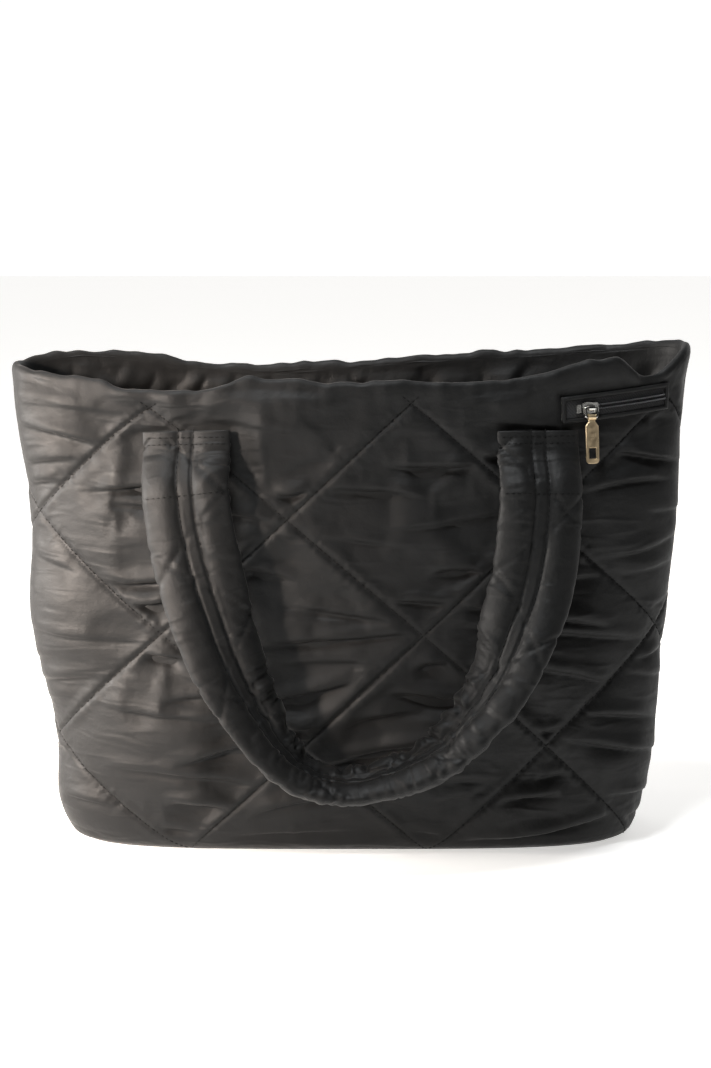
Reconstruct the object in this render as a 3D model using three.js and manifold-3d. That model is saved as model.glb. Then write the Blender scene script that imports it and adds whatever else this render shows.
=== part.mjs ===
// A soft quilted puffer tote bag standing open on a flat base, with two padded shoulder handles
// and a slanted zip pocket. Millimetres, +Z up, the front faces -Y, the base lies on z = 0.
import * as THREE from 'three';
import { mergeVertices } from 'three/addons/utils/BufferGeometryUtils.js';
import Module from 'manifold-3d';

const wasm = await Module();
wasm.setup();

// Bag body, measured on the stitched groove lines of the quilting
const BAG_WIDTH = 462;
const BAG_HEIGHT = 330;
const BAG_DEPTH = 132;
const WALL = 4;
const BASE_WALL = 6;
const RIM_THICKNESS = 11;
const RIM_WAVE_DEPTH = 50;
const SEAM_GAP = 0.3;

// Quilting: half the pitch of the diamonds each way, and one crossing of the front panel
const QUILT_ACROSS = 88;
const QUILT_DOWN = 79;
const QUILT_START_ACROSS = 40;
const QUILT_START_DOWN = 15;
const QUILT_LEAN = 0.057;
const PUFF = 9;
const PUFF_SHARPNESS = 0.62;
const CELLS_PER_QUILT = 5;

// Lining sack, sewn below the facing band of the mouth
const LINING_THICKNESS = 1;
const LINING_GAP = 0.3;
const FACING_BAND = 42;

// Padded handles
const HANDLE_WIDTH = 57;
const HANDLE_LOFT = 15;
const HANDLE_SPREAD = 230;
const HANDLE_OFFSET = 7;
const HANDLE_DROP = 232;
const HANDLE_BELOW_RIM = 34;
const HANDLE_STATIONS = 44;
const SEAT_GAP = 0.35;

// Zip pocket
const ZIP_WINDOW_LENGTH = 72;
const ZIP_WINDOW_HEIGHT = 12;
const ZIP_SLOPE = 0.097;
const ZIP_START_DOWN = 21.4;
const ZIP_STEP = 6;
const WELT_WIDTH = 3;
const WELT_THICKNESS = 3.4;
const TAPE_THICKNESS = 0.8;
const COIL_WIDTH = 5.4;
const COIL_THICKNESS = 1.8;
const TRIM_GAP = 0.3;
const SLIDER_LENGTH = 11;
const SLIDER_WIDTH = 8.4;
const SLIDER_THICKNESS = 3.2;
const SLIDER_NOSE_SHARE = 0.7;
const SLIDER_AT = 16;
const SLIDER_GAP = 0.7;
const STOP_LENGTH = 3;
const TRIM_BASE = TAPE_THICKNESS + 2 * TRIM_GAP;

// Zip pull: a wire bail through the slider's bridge and a tab with a knuckle round the bail
const WIRE = 1.5;
const PIN_CLEARANCE = 0.35;
const KNUCKLE_WALL = 0.9;
const BRIDGE_LENGTH = 4;
const BAIL_WIDTH = 9;
const BAIL_HEIGHT = 7.5;
const TAB_LENGTH = 31;
const TAB_WIDTH = 9;
const TAB_NECK_WIDTH = 5;
const TAB_SHOULDER = 3;
const TAB_THICKNESS = 1.7;
const TAB_WINDOW_LENGTH = 8;
const TAB_WINDOW_WIDTH = 5.6;
const PULL_LEAN = THREE.MathUtils.degToRad(9);
const PULL_CLEARANCE = 5;
const SLIDER_TAIL_SHARE = 0.8;
const BAIL_BEVEL_SHARE = 0.28;
const BAIL_HOLE_CORNER_SHARE = 0.4;
const TAB_BEVEL_SHARE = 0.25;
const TAB_WAIST_SHARE = 0.8;
const KNUCKLE_SEGMENTS = 8;
const TAB_SEGMENTS = 4;
const WIRE_SEGMENTS = 2;

// The pull hangs beside the outer edge of the handle's right leg, so the zip starts from there
const ZIP_START_ACROSS = HANDLE_OFFSET + (HANDLE_SPREAD + HANDLE_WIDTH + TAB_WIDTH) / 2 + PULL_CLEARANCE - SLIDER_AT;

// Plan sections of the groove surface from the base up, as shares of the bag's height, width and depth;
// square is the exponent of the rounded plan, 2 for an ellipse and more for a boxier one
const SECTIONS = [
  { height: 0.000, width: 0.824, depth: 0.740, square: 3.6 },
  { height: 0.015, width: 0.862, depth: 0.870, square: 3.4 },
  { height: 0.048, width: 0.885, depth: 0.945, square: 3.2 },
  { height: 0.136, width: 0.898, depth: 0.985, square: 3.0 },
  { height: 0.273, width: 0.915, depth: 1.000, square: 2.8 },
  { height: 0.394, width: 0.940, depth: 0.985, square: 2.7 },
  { height: 0.518, width: 0.961, depth: 0.955, square: 2.6 },
  { height: 0.636, width: 0.963, depth: 0.925, square: 2.5 },
  { height: 0.758, width: 0.972, depth: 0.880, square: 2.4 },
  { height: 0.879, width: 0.986, depth: 0.836, square: 2.35 },
  { height: 1.000, width: 1.000, depth: 0.776, square: 2.3 },
];

// Wavy mouth: how far the rim rises above the named height, as a share of it, from the left corner
// (across -1) to the right corner (across 1) of each panel
const FRONT_RIM = [
  { across: -1.00, rise: 0.026 },
  { across: -0.82, rise: 0.000 },
  { across: -0.50, rise: -0.033 },
  { across: -0.32, rise: 0.002 },
  { across: 0.00, rise: -0.005 },
  { across: 0.50, rise: 0.004 },
  { across: 0.77, rise: 0.052 },
  { across: 0.87, rise: -0.006 },
  { across: 1.00, rise: 0.076 },
];
const BACK_RIM = [
  { across: -1.00, rise: 0.026 },
  { across: -0.82, rise: 0.042 },
  { across: -0.30, rise: -0.006 },
  { across: 0.25, rise: 0.022 },
  { across: 0.70, rise: 0.046 },
  { across: 1.00, rise: 0.076 },
];

// Soft valleys pressed into the puffs of each panel: where the middle lies, as shares of half the cloth's
// width and of the height, how long it is as a share of the bag's width, its turn in degrees, and its
// depth and half width as shares of the puff
const FOLDS = [
  { across: -0.06, down: 0.50, reach: 0.20, turn: -7, depth: 0.45, spread: 1.1 },
  { across: -0.02, down: 0.57, reach: 0.15, turn: 4, depth: 0.30, spread: 0.9 },
  { across: -0.16, down: 0.39, reach: 0.10, turn: -17, depth: 0.30, spread: 1.0 },
  { across: 0.12, down: 0.22, reach: 0.20, turn: 8, depth: 0.30, spread: 1.0 },
  { across: 0.57, down: 0.60, reach: 0.13, turn: 12, depth: 0.35, spread: 1.1 },
  { across: 0.74, down: 0.22, reach: 0.14, turn: 4, depth: 0.50, spread: 1.3 },
  { across: -0.66, down: 0.22, reach: 0.14, turn: -38, depth: 0.45, spread: 1.4 },
  { across: -0.66, down: 0.50, reach: 0.13, turn: -17, depth: 0.30, spread: 1.1 },
  { across: -0.78, down: 0.35, reach: 0.10, turn: -20, depth: 0.30, spread: 1.0 },
  { across: 0.66, down: 0.90, reach: 0.12, turn: 18, depth: 0.30, spread: 1.0 },
];

// Hanging handle: where its middle runs, across as a share of the spread and down as a share of the drop,
// how far its face has rolled upwards in degrees, and its width and loft as shares of the named sizes
const HANDLE_ROUTE = [
  { across: -0.505, down: 0.000, roll: 0, width: 1.03, loft: 0.45 },
  { across: -0.503, down: 0.070, roll: 0, width: 1.03, loft: 0.70 },
  { across: -0.500, down: 0.140, roll: 0, width: 1.03, loft: 1.00 },
  { across: -0.476, down: 0.310, roll: 8, width: 1.02, loft: 1.00 },
  { across: -0.430, down: 0.480, roll: 22, width: 1.00, loft: 1.05 },
  { across: -0.378, down: 0.640, roll: 38, width: 0.96, loft: 1.05 },
  { across: -0.310, down: 0.785, roll: 54, width: 0.90, loft: 1.05 },
  { across: -0.232, down: 0.910, roll: 70, width: 0.86, loft: 1.00 },
  { across: -0.130, down: 0.985, roll: 80, width: 0.84, loft: 0.95 },
  { across: -0.010, down: 1.000, roll: 84, width: 0.82, loft: 0.95 },
  { across: 0.110, down: 0.968, roll: 80, width: 0.82, loft: 1.05 },
  { across: 0.225, down: 0.905, roll: 74, width: 0.84, loft: 1.15 },
  { across: 0.315, down: 0.800, roll: 64, width: 0.88, loft: 1.10 },
  { across: 0.385, down: 0.690, roll: 50, width: 0.92, loft: 1.05 },
  { across: 0.436, down: 0.555, roll: 32, width: 0.96, loft: 1.05 },
  { across: 0.480, down: 0.410, roll: 16, width: 0.98, loft: 1.00 },
  { across: 0.505, down: 0.220, roll: 4, width: 0.98, loft: 1.00 },
  { across: 0.508, down: 0.080, roll: 0, width: 0.97, loft: 0.70 },
  { across: 0.508, down: 0.000, roll: 0, width: 0.96, loft: 0.45 },
];

// Section of the handle: two padded lobes either side of the centre seam of the face
const HANDLE_SECTION = [
  { across: -0.50, out: 0.00 },
  { across: -0.42, out: 0.34 },
  { across: -0.22, out: 0.50 },
  { across: -0.03, out: 0.26 },
  { across: 0.03, out: 0.26 },
  { across: 0.22, out: 0.50 },
  { across: 0.42, out: 0.34 },
  { across: 0.50, out: 0.00 },
  { across: 0.38, out: -0.40 },
  { across: 0.13, out: -0.50 },
  { across: -0.13, out: -0.50 },
  { across: -0.38, out: -0.40 },
];

// How the puffs fade out: near the side seams, near the base, round the zip and under the sewn handle ends
const SEAM_FADE = 26;
const SEAM_PUFF_SHARE = 0.35;
const BASE_FADE_START = 0.02;
const BASE_FADE_END = 0.13;
const ZIP_FADE_START = 9;
const ZIP_FADE_END = 46;
const PATCH_LENGTH = 40;
const PATCH_FADE = 22;
const RIM_ROLL = 3.5;
const RIM_FADE = 12;
const ZIP_PUFF_SHARE = 0.15;
const PATCH_INSIDE = PATCH_FADE / 4;
const HANDLE_LIFT_START = PATCH_LENGTH / 4;
const FOLD_END_POWER = 4;

// Spacing of the mesh: margins between cell lines and edges, and which rows and columns the inner walls keep
const COLUMN_MARGIN = 0.4;
const ROW_MARGIN = 0.3;
const INNER_ROW_STEP = 2;
const LINING_COLUMN_STEP = 3;
const ALL_ROWS_BELOW = 0.93;
const CORNER_ROWS = 3;
const FLOOR_SNAP = 0.01;
const AT_SEAM = 0.999;
const NORMAL_STEP_ACROSS = 0.006;
const NORMAL_STEP_DOWN = 1.5;
const MOST_ACROSS = 0.98;

const CLOTH_BLACK = 0x2b2a2a;
const LINING_BLACK = 0x1c1b1c;
const ZIP_BLACK = 0x141415;
const METAL_BRONZE = 0xa89a84;
const METAL_SILVER = 0xc9c8c4;

const PLAN_SAMPLES = 160;
const PROFILE_SAMPLES = 240;
const ZIP_DOWN_TURNS = 8;

const { lerp, smoothstep, clamp, degToRad } = THREE.MathUtils;

// Smooth value of one column of a table at a place along its key column
function sample(table, key, column, at) {
  const last = table.length - 1;
  let row = 0;
  while (row < last - 1 && at > table[row + 1][key]) {
    row += 1;
  }
  const here = table[row];
  const next = table[row + 1];
  const span = next[key] - here[key];
  const share = clamp((at - here[key]) / span, 0, 1);
  const before = table[Math.max(row - 1, 0)];
  const after = table[Math.min(row + 2, last)];
  const slopeHere = (next[column] - before[column]) / (next[key] - before[key]);
  const slopeNext = (after[column] - here[column]) / (after[key] - here[key]);
  const s2 = share * share;
  const s3 = s2 * share;
  return (2 * s3 - 3 * s2 + 1) * here[column] + (s3 - 2 * s2 + share) * span * slopeHere
    + (3 * s2 - 2 * s3) * next[column] + (s3 - s2) * span * slopeNext;
}

// Plan of the groove surface at one height, with the cloth's length round it from the middle to a side seam
function planAt(height, inset = 0) {
  const share = clamp(height / BAG_HEIGHT, 0, 1);
  const halfWidth = BAG_WIDTH / 2 * sample(SECTIONS, 'height', 'width', share) - inset;
  const halfDepth = BAG_DEPTH / 2 * sample(SECTIONS, 'height', 'depth', share) - inset;
  const square = sample(SECTIONS, 'height', 'square', share);
  const points = [];
  const lengths = [0];
  for (let i = 0; i <= PLAN_SAMPLES; i += 1) {
    const angle = i / PLAN_SAMPLES * Math.PI / 2;
    points.push({
      x: halfWidth * Math.sin(angle) ** (2 / square),
      y: -halfDepth * Math.max(Math.cos(angle), 0) ** (2 / square),
    });
    if (i > 0) {
      const dx = points[i].x - points[i - 1].x;
      const dy = points[i].y - points[i - 1].y;
      lengths.push(lengths[i - 1] + Math.hypot(dx, dy));
    }
  }
  points[PLAN_SAMPLES].y = 0;
  return { halfWidth, halfDepth, square, points, lengths };
}

const planCache = new Map();

function cachedPlan(height, inset) {
  const key = `${height.toFixed(4)} ${inset.toFixed(4)}`;
  if (!planCache.has(key)) {
    planCache.set(key, planAt(height, inset));
  }
  return planCache.get(key);
}

// Point on a plan, at a share of the cloth from the middle of the front (0) to a side seam (-1 or 1)
function planPoint(plan, share) {
  const wanted = Math.min(Math.abs(share), 1) * plan.lengths[PLAN_SAMPLES];
  let low = 0;
  let high = PLAN_SAMPLES;
  while (high - low > 1) {
    const middle = (low + high) >> 1;
    if (plan.lengths[middle] > wanted) {
      high = middle;
    } else {
      low = middle;
    }
  }
  const part = (wanted - plan.lengths[low]) / (plan.lengths[high] - plan.lengths[low]);
  const x = lerp(plan.points[low].x, plan.points[high].x, part);
  const y = lerp(plan.points[low].y, plan.points[high].y, part);
  return { x: Math.sign(share) * x, y };
}

// Length of the cloth down the middle of the front, from the nominal rim to the edge of the flat base
function wallProfile() {
  const profile = [{ down: 0, height: BAG_HEIGHT }];
  let depthBefore = sample(SECTIONS, 'height', 'depth', 1);
  for (let i = 1; i <= PROFILE_SAMPLES; i += 1) {
    const share = 1 - i / PROFILE_SAMPLES;
    const depth = sample(SECTIONS, 'height', 'depth', share);
    const step = Math.hypot(BAG_HEIGHT / PROFILE_SAMPLES, (depth - depthBefore) * BAG_DEPTH / 2);
    profile.push({ down: profile[i - 1].down + step, height: share * BAG_HEIGHT });
    depthBefore = depth;
  }
  return profile;
}

const PROFILE = wallProfile();
const WALL_DROP = PROFILE[PROFILE_SAMPLES].down;
const MIDDLE_PLAN = planAt(BAG_HEIGHT / 2);
const HALF_CLOTH = MIDDLE_PLAN.lengths[PLAN_SAMPLES];

function heightAtDrop(down) {
  const wanted = clamp(down, 0, WALL_DROP);
  let low = 0;
  let high = PROFILE_SAMPLES;
  while (high - low > 1) {
    const middle = (low + high) >> 1;
    if (PROFILE[middle].down > wanted) {
      high = middle;
    } else {
      low = middle;
    }
  }
  const part = (wanted - PROFILE[low].down) / (PROFILE[high].down - PROFILE[low].down);
  return lerp(PROFILE[low].height, PROFILE[high].height, part);
}

function dropAtHeight(height) {
  const index = (1 - height / BAG_HEIGHT) * PROFILE_SAMPLES;
  const low = Math.floor(clamp(index, 0, PROFILE_SAMPLES - 1));
  return lerp(PROFILE[low].down, PROFILE[low + 1].down, index - low);
}

// The mouth's waves die out a short way down the wall
function rimRise(rim, across, height) {
  const fade = Math.max(1 - (BAG_HEIGHT - height) / RIM_WAVE_DEPTH, 0) ** 2;
  return BAG_HEIGHT * sample(rim, 'across', 'rise', across) * fade;
}

// Groove surface of a panel: across is the share of the cloth from the middle to a side seam, down is the
// length of cloth below the nominal rim
function groovePoint(rim, across, down) {
  const height = heightAtDrop(down);
  const lean = QUILT_LEAN * (down - QUILT_START_DOWN) * (1 - across * across) / HALF_CLOTH;
  const plan = cachedPlan(height, 0);
  const place = planPoint(plan, clamp(across + lean, -1, 1));
  return new THREE.Vector3(place.x, place.y, height + rimRise(rim, place.x / plan.halfWidth, height));
}

function grooveNormal(rim, across, down) {
  const left = groovePoint(rim, Math.max(across - NORMAL_STEP_ACROSS, -1), down);
  const right = groovePoint(rim, Math.min(across + NORMAL_STEP_ACROSS, 1), down);
  const above = groovePoint(rim, across, Math.max(down - NORMAL_STEP_DOWN, 0));
  const below = groovePoint(rim, across, Math.min(down + NORMAL_STEP_DOWN, WALL_DROP));
  const normal = right.sub(left).cross(above.sub(below)).normalize();
  if (Math.abs(across) > AT_SEAM) {
    normal.y = 0;
    normal.normalize();
  }
  return normal;
}

// Distance of a place on the cloth from the zip's middle line
function zipDistance(across, down) {
  const along = across * HALF_CLOTH - ZIP_START_ACROSS;
  const beside = down - zipDown(along);
  const beyond = Math.max(-along, along - ZIP_WINDOW_LENGTH, 0);
  return Math.hypot(beyond, beside);
}

// The zip runs straight although the rim above it waves, so its drop follows the rim's rise
function zipDown(along) {
  const across = (ZIP_START_ACROSS + along) / HALF_CLOTH;
  const straight = ZIP_START_DOWN - ZIP_SLOPE * along;
  let down = straight;
  for (let turn = 0; turn < ZIP_DOWN_TURNS; turn += 1) {
    down = straight + groovePoint(FRONT_RIM, across, down).z - heightAtDrop(down);
  }
  return down;
}

// Distance of a place on the cloth from the nearer sewn handle end, 0 on the end itself
function patchDistance(x, down) {
  const middle = HANDLE_OFFSET + Math.sign(x - HANDLE_OFFSET) * HANDLE_SPREAD / 2;
  const beside = Math.max(Math.abs(x - middle) - HANDLE_WIDTH / 2, 0);
  const above = HANDLE_BELOW_RIM - down;
  const below = down - HANDLE_BELOW_RIM - PATCH_LENGTH;
  return Math.hypot(beside, Math.max(above, below, 0));
}

function foldDepth(across, down) {
  let depth = 0;
  for (const fold of FOLDS) {
    const dx = (across - fold.across) * HALF_CLOTH;
    const dz = fold.down * BAG_HEIGHT - down;
    const turn = degToRad(fold.turn);
    const along = dx * Math.cos(turn) + dz * Math.sin(turn);
    const beside = dz * Math.cos(turn) - dx * Math.sin(turn);
    const reach = fold.reach * BAG_WIDTH / 2;
    const spread = fold.spread * PUFF;
    depth += fold.depth * PUFF * Math.exp(-((along / reach) ** FOLD_END_POWER) - (beside / spread) ** 2);
  }
  return depth;
}

// How far the padding lifts the cloth off the groove surface
function puffAt(place, across, down, hasZip) {
  const p = (across * HALF_CLOTH - QUILT_START_ACROSS) / QUILT_ACROSS;
  const q = (down - QUILT_START_DOWN) / QUILT_DOWN;
  const pillow = Math.abs(Math.sin((p - q) * Math.PI / 2) * Math.sin((p + q) * Math.PI / 2)) ** PUFF_SHARPNESS;
  const fromSeam = (1 - Math.abs(across)) * HALF_CLOTH;
  const share = place.z / BAG_HEIGHT;
  let puff = PUFF * pillow - foldDepth(across, down) * pillow;
  puff *= lerp(SEAM_PUFF_SHARE, 1, smoothstep(fromSeam, 0, SEAM_FADE));
  puff *= smoothstep(patchDistance(place.x, down), -PATCH_INSIDE, PATCH_FADE);
  if (hasZip) {
    puff *= lerp(ZIP_PUFF_SHARE, 1, smoothstep(zipDistance(across, down), ZIP_FADE_START, ZIP_FADE_END));
  }
  puff = lerp(RIM_ROLL, puff, smoothstep(down, RIM_THICKNESS / 2, RIM_THICKNESS / 2 + RIM_FADE));
  return puff * smoothstep(share, BASE_FADE_START, BASE_FADE_END);
}

// A closed mesh gathered triangle by triangle, with equal vertices shared and empty triangles dropped
class ClosedMesh {
  constructor() {
    this.places = [];
    this.index = [];
    this.known = new Map();
  }

  vertex(point) {
    const key = `${point.x.toFixed(3)} ${point.y.toFixed(3)} ${point.z.toFixed(3)}`;
    if (!this.known.has(key)) {
      this.known.set(key, this.places.length / 3);
      this.places.push(point.x, point.y, point.z);
    }
    return this.known.get(key);
  }

  triangle(a, b, c) {
    const corners = [this.vertex(a), this.vertex(b), this.vertex(c)];
    if (new Set(corners).size === 3) {
      this.index.push(...corners);
    }
  }

  // Quad a b c d, split from a to c, or from b to d when crossed
  quad(a, b, c, d, crossed = false) {
    if (crossed) {
      this.triangle(a, b, d);
      this.triangle(b, c, d);
    } else {
      this.triangle(a, b, c);
      this.triangle(a, c, d);
    }
  }

  geometry() {
    const geometry = new THREE.BufferGeometry();
    geometry.setAttribute('position', new THREE.Float32BufferAttribute(this.places, 3));
    geometry.setIndex(this.index);
    return geometry;
  }
}

// Turns a closed geometry inside out, for pieces that are mirrored
function flipped(geometry) {
  const index = geometry.getIndex().array;
  for (let i = 0; i < index.length; i += 3) {
    [index[i + 1], index[i + 2]] = [index[i + 2], index[i + 1]];
  }
  return geometry;
}

function mirroredToBack(geometry) {
  const copy = geometry.clone();
  copy.scale(1, -1, 1);
  return flipped(copy);
}

function toManifold(geometry) {
  let plain = geometry.clone();
  plain.deleteAttribute('normal');
  plain.deleteAttribute('uv');
  plain = mergeVertices(plain, 1e-4);
  return new wasm.Manifold(new wasm.Mesh({
    numProp: 3,
    vertProperties: new Float32Array(plain.getAttribute('position').array),
    triVerts: new Uint32Array(plain.getIndex().array),
  }));
}

function fromManifold(solid) {
  const mesh = solid.getMesh();
  const geometry = new THREE.BufferGeometry();
  geometry.setAttribute('position', new THREE.BufferAttribute(mesh.vertProperties, 3));
  geometry.setIndex(new THREE.BufferAttribute(mesh.triVerts, 1));
  return geometry;
}

// Places across a panel: both side seams, and every cell line of the quilting between them
function columnPlaces() {
  const step = QUILT_ACROSS / CELLS_PER_QUILT;
  const first = Math.ceil((-HALF_CLOTH - QUILT_START_ACROSS) / step + COLUMN_MARGIN);
  const last = Math.floor((HALF_CLOTH - QUILT_START_ACROSS) / step - COLUMN_MARGIN);
  const columns = [{ across: -1, cell: first - 1 }];
  for (let i = first; i <= last; i += 1) {
    columns.push({ across: (QUILT_START_ACROSS + i * step) / HALF_CLOTH, cell: i });
  }
  columns.push({ across: 1, cell: last + 1 });
  return columns;
}

// Places down a panel's outside: from the rim's roll, along the cell lines, and round the base's edge
function rowPlaces() {
  const step = QUILT_DOWN / CELLS_PER_QUILT;
  const cornerRows = SECTIONS.slice(0, CORNER_ROWS).reverse();
  const cornerTop = dropAtHeight(cornerRows[0].height * BAG_HEIGHT);
  const firstDown = RIM_THICKNESS / 2;
  const first = Math.ceil((firstDown - QUILT_START_DOWN) / step + ROW_MARGIN);
  const last = Math.floor((cornerTop - QUILT_START_DOWN) / step - ROW_MARGIN);
  const rows = [{ down: firstDown, cell: first - 1 }];
  for (let i = first; i <= last; i += 1) {
    rows.push({ down: QUILT_START_DOWN + i * step, cell: i });
  }
  cornerRows.forEach((row, i) => {
    rows.push({ down: dropAtHeight(row.height * BAG_HEIGHT), cell: last + 1 + i });
  });
  return rows;
}

// Drops of the inner walls' rows: every second row of the outside, and all of them round the base's edge
function innerRows(rows) {
  const kept = rows.filter((row, i) => i % INNER_ROW_STEP === 0 || row.down > WALL_DROP * ALL_ROWS_BELOW);
  return kept.map((row) => row.down);
}

// Inner face of the wall: the outer plan moved in by the wall, standing on the base's thickness
function innerPoint(rim, across, down, inset, floor) {
  const height = heightAtDrop(down);
  const share = height / BAG_HEIGHT;
  const plan = cachedPlan(height, inset);
  const place = planPoint(plan, across);
  const rise = rimRise(rim, place.x / plan.halfWidth, height);
  return new THREE.Vector3(place.x, place.y, height + rise + floor * (1 - share));
}

// One quilted panel with its half of the base, as the closed band of cloth over each column
function panelGeometry(rim, { grow = 0, hasZip = false } = {}) {
  const columns = columnPlaces();
  const rows = rowPlaces();
  const innerDowns = innerRows(rows);
  const strips = columns.map(({ across }) => {
    const outer = rows.map(({ down }) => {
      const place = groovePoint(rim, across, down);
      const puff = puffAt(place, across, down, hasZip);
      return place.addScaledVector(grooveNormal(rim, across, down), puff + grow);
    });
    outer.forEach((point) => {
      if (point.z < FLOOR_SNAP) {
        point.z = 0;
      }
    });
    const inner = innerDowns.map((down) => innerPoint(rim, across, down, WALL, BASE_WALL));
    const seamOuter = new THREE.Vector3(outer[outer.length - 1].x, 0, 0);
    const seamInner = new THREE.Vector3(inner[inner.length - 1].x, 0, BASE_WALL);
    const roll = rimRoll(outer[0], inner[0]);
    return [seamOuter, ...outer.reverse(), ...roll, ...inner, seamInner];
  });
  strips.flat().forEach((point) => {
    point.y -= SEAM_GAP / 2;
  });
  return bandGeometry(strips, columns, rows);
}

// Points over the padded rim, from the outer face to the inner one
function rimRoll(outer, inner) {
  const middle = outer.clone().add(inner).multiplyScalar(0.5);
  const reach = outer.clone().sub(middle);
  return [45, 90, 135].map((angle) => {
    const turn = degToRad(angle);
    const point = middle.clone().addScaledVector(reach, Math.cos(turn));
    point.z += RIM_THICKNESS / 2 * Math.sin(turn);
    return point;
  });
}

// Joins the strips of cloth side by side and closes the two side seams
function bandGeometry(strips, columns, rows) {
  const mesh = new ClosedMesh();
  const around = strips[0].length;
  for (let i = 0; i < strips.length - 1; i += 1) {
    for (let j = 0; j < around; j += 1) {
      const k = (j + 1) % around;
      const rowAbove = rows[rows.length - 1 - j];
      const crossed = rowAbove ? fallsToTheRight(columns[i].cell, rowAbove.cell) : false;
      mesh.quad(strips[i][j], strips[i + 1][j], strips[i + 1][k], strips[i][k], crossed);
    }
  }
  capStrip(mesh, strips[0], true);
  capStrip(mesh, strips[strips.length - 1], false);
  return mesh.geometry();
}

// Whether a quilting line that falls to the right runs corner to corner through a cell
function fallsToTheRight(column, rowAbove) {
  return (column - rowAbove) % (2 * CELLS_PER_QUILT) === 0;
}

// Fills the flat end of a strip, climbing its outer and inner edges together from the base to the rim
function capStrip(mesh, strip, facesLeft) {
  let outer = 0;
  let inner = strip.length - 1;
  while (inner - outer > 1) {
    const climbOuter = strip[outer + 1].z <= strip[inner - 1].z;
    const next = climbOuter ? strip[outer + 1] : strip[inner - 1];
    if (facesLeft) {
      mesh.triangle(strip[outer], next, strip[inner]);
    } else {
      mesh.triangle(strip[outer], strip[inner], next);
    }
    if (climbOuter) {
      outer += 1;
    } else {
      inner -= 1;
    }
  }
}

// Thin sack inside the walls, open at the top below the facing band
function liningGeometry() {
  const places = columnPlaces().filter((column, i, all) => i % LINING_COLUMN_STEP === 0 || i === all.length - 1);
  const downs = innerRows(rowPlaces()).filter((down) => down > FACING_BAND);
  const skin = (inset, floor, side) => {
    const rim = side < 0 ? FRONT_RIM : BACK_RIM;
    return places.map(({ across }) => downs.map((down) => {
      const point = innerPoint(rim, across, down, inset, floor);
      point.y *= -side;
      return point;
    }));
  };
  const mesh = new ClosedMesh();
  const inset = WALL + LINING_GAP;
  const floor = BASE_WALL + LINING_GAP;
  const outside = [-1, 1].map((side) => skin(inset, floor, side));
  const inside = [-1, 1].map((side) => skin(inset + LINING_THICKNESS, floor + LINING_THICKNESS, side));
  outside[1][0] = outside[0][0];
  outside[1][places.length - 1] = outside[0][places.length - 1];
  inside[1][0] = inside[0][0];
  inside[1][places.length - 1] = inside[0][places.length - 1];
  const last = downs.length - 1;
  for (let i = 0; i < places.length - 1; i += 1) {
    for (const side of [0, 1]) {
      const [left, right] = side === 0 ? [i, i + 1] : [i + 1, i];
      const out = outside[side];
      const inn = inside[side];
      for (let j = 0; j < last; j += 1) {
        mesh.quad(out[left][j + 1], out[right][j + 1], out[right][j], out[left][j]);
        mesh.quad(inn[right][j + 1], inn[left][j + 1], inn[left][j], inn[right][j]);
      }
      mesh.quad(out[left][0], out[right][0], inn[right][0], inn[left][0]);
    }
    mesh.quad(outside[1][i][last], outside[1][i + 1][last], outside[0][i + 1][last], outside[0][i][last]);
    mesh.quad(inside[0][i][last], inside[0][i + 1][last], inside[1][i + 1][last], inside[1][i][last]);
  }
  return mesh.geometry();
}

// Point of the front groove surface that lies at a given x and height, and the way it faces there
function frontAt(x, height) {
  const plan = cachedPlan(height, 0);
  const share = Math.min(Math.abs(x) / plan.halfWidth, MOST_ACROSS);
  const depthShare = (1 - share ** plan.square) ** (1 / plan.square);
  const nx = Math.sign(x) * share ** (plan.square - 1) / plan.halfWidth;
  const ny = -(depthShare ** (plan.square - 1)) / plan.halfDepth;
  const point = new THREE.Vector3(x, -depthShare * plan.halfDepth, height);
  return { point, normal: new THREE.Vector3(nx, ny, 0).normalize() };
}

// Stations down one leg of the handle, round the bottom and up the other
function handleStations() {
  const top = BAG_HEIGHT - HANDLE_BELOW_RIM;
  const route = HANDLE_ROUTE.map((row, i) => ({ ...row, step: i / (HANDLE_ROUTE.length - 1) }));
  const stations = [];
  for (let i = 0; i <= HANDLE_STATIONS; i += 1) {
    const step = i / HANDLE_STATIONS;
    const at = (column) => sample(route, 'step', column, step);
    const place = frontAt(HANDLE_OFFSET + at('across') * HANDLE_SPREAD, top - at('down') * HANDLE_DROP);
    const roll = degToRad(at('roll'));
    const width = HANDLE_WIDTH * at('width');
    const loft = HANDLE_LOFT * at('loft');
    const ride = PUFF * smoothstep(at('down') * HANDLE_DROP, HANDLE_LIFT_START, PATCH_LENGTH);
    const out = SEAT_GAP + ride + loft / 2 * Math.cos(roll) + width / 2 * Math.sin(roll);
    stations.push({ centre: place.point.addScaledVector(place.normal, out), facing: place.normal, roll, width, loft });
  }
  return stations;
}

// Padded tube with the handle's section, rolled about its own middle
function handleTube() {
  const stations = handleStations();
  const rings = stations.map((station, i) => {
    const before = stations[Math.max(i - 1, 0)].centre;
    const after = stations[Math.min(i + 1, stations.length - 1)].centre;
    const ahead = after.clone().sub(before).normalize();
    const face = station.facing.clone().addScaledVector(ahead, -station.facing.dot(ahead)).normalize();
    const side = face.clone().cross(ahead).normalize();
    const rolledFace = face.clone().applyAxisAngle(ahead, -station.roll);
    const rolledSide = side.clone().applyAxisAngle(ahead, -station.roll);
    return HANDLE_SECTION.map((row) => station.centre.clone()
      .addScaledVector(rolledSide, row.across * station.width)
      .addScaledVector(rolledFace, row.out * station.loft));
  });
  return tubeGeometry(rings);
}

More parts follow.
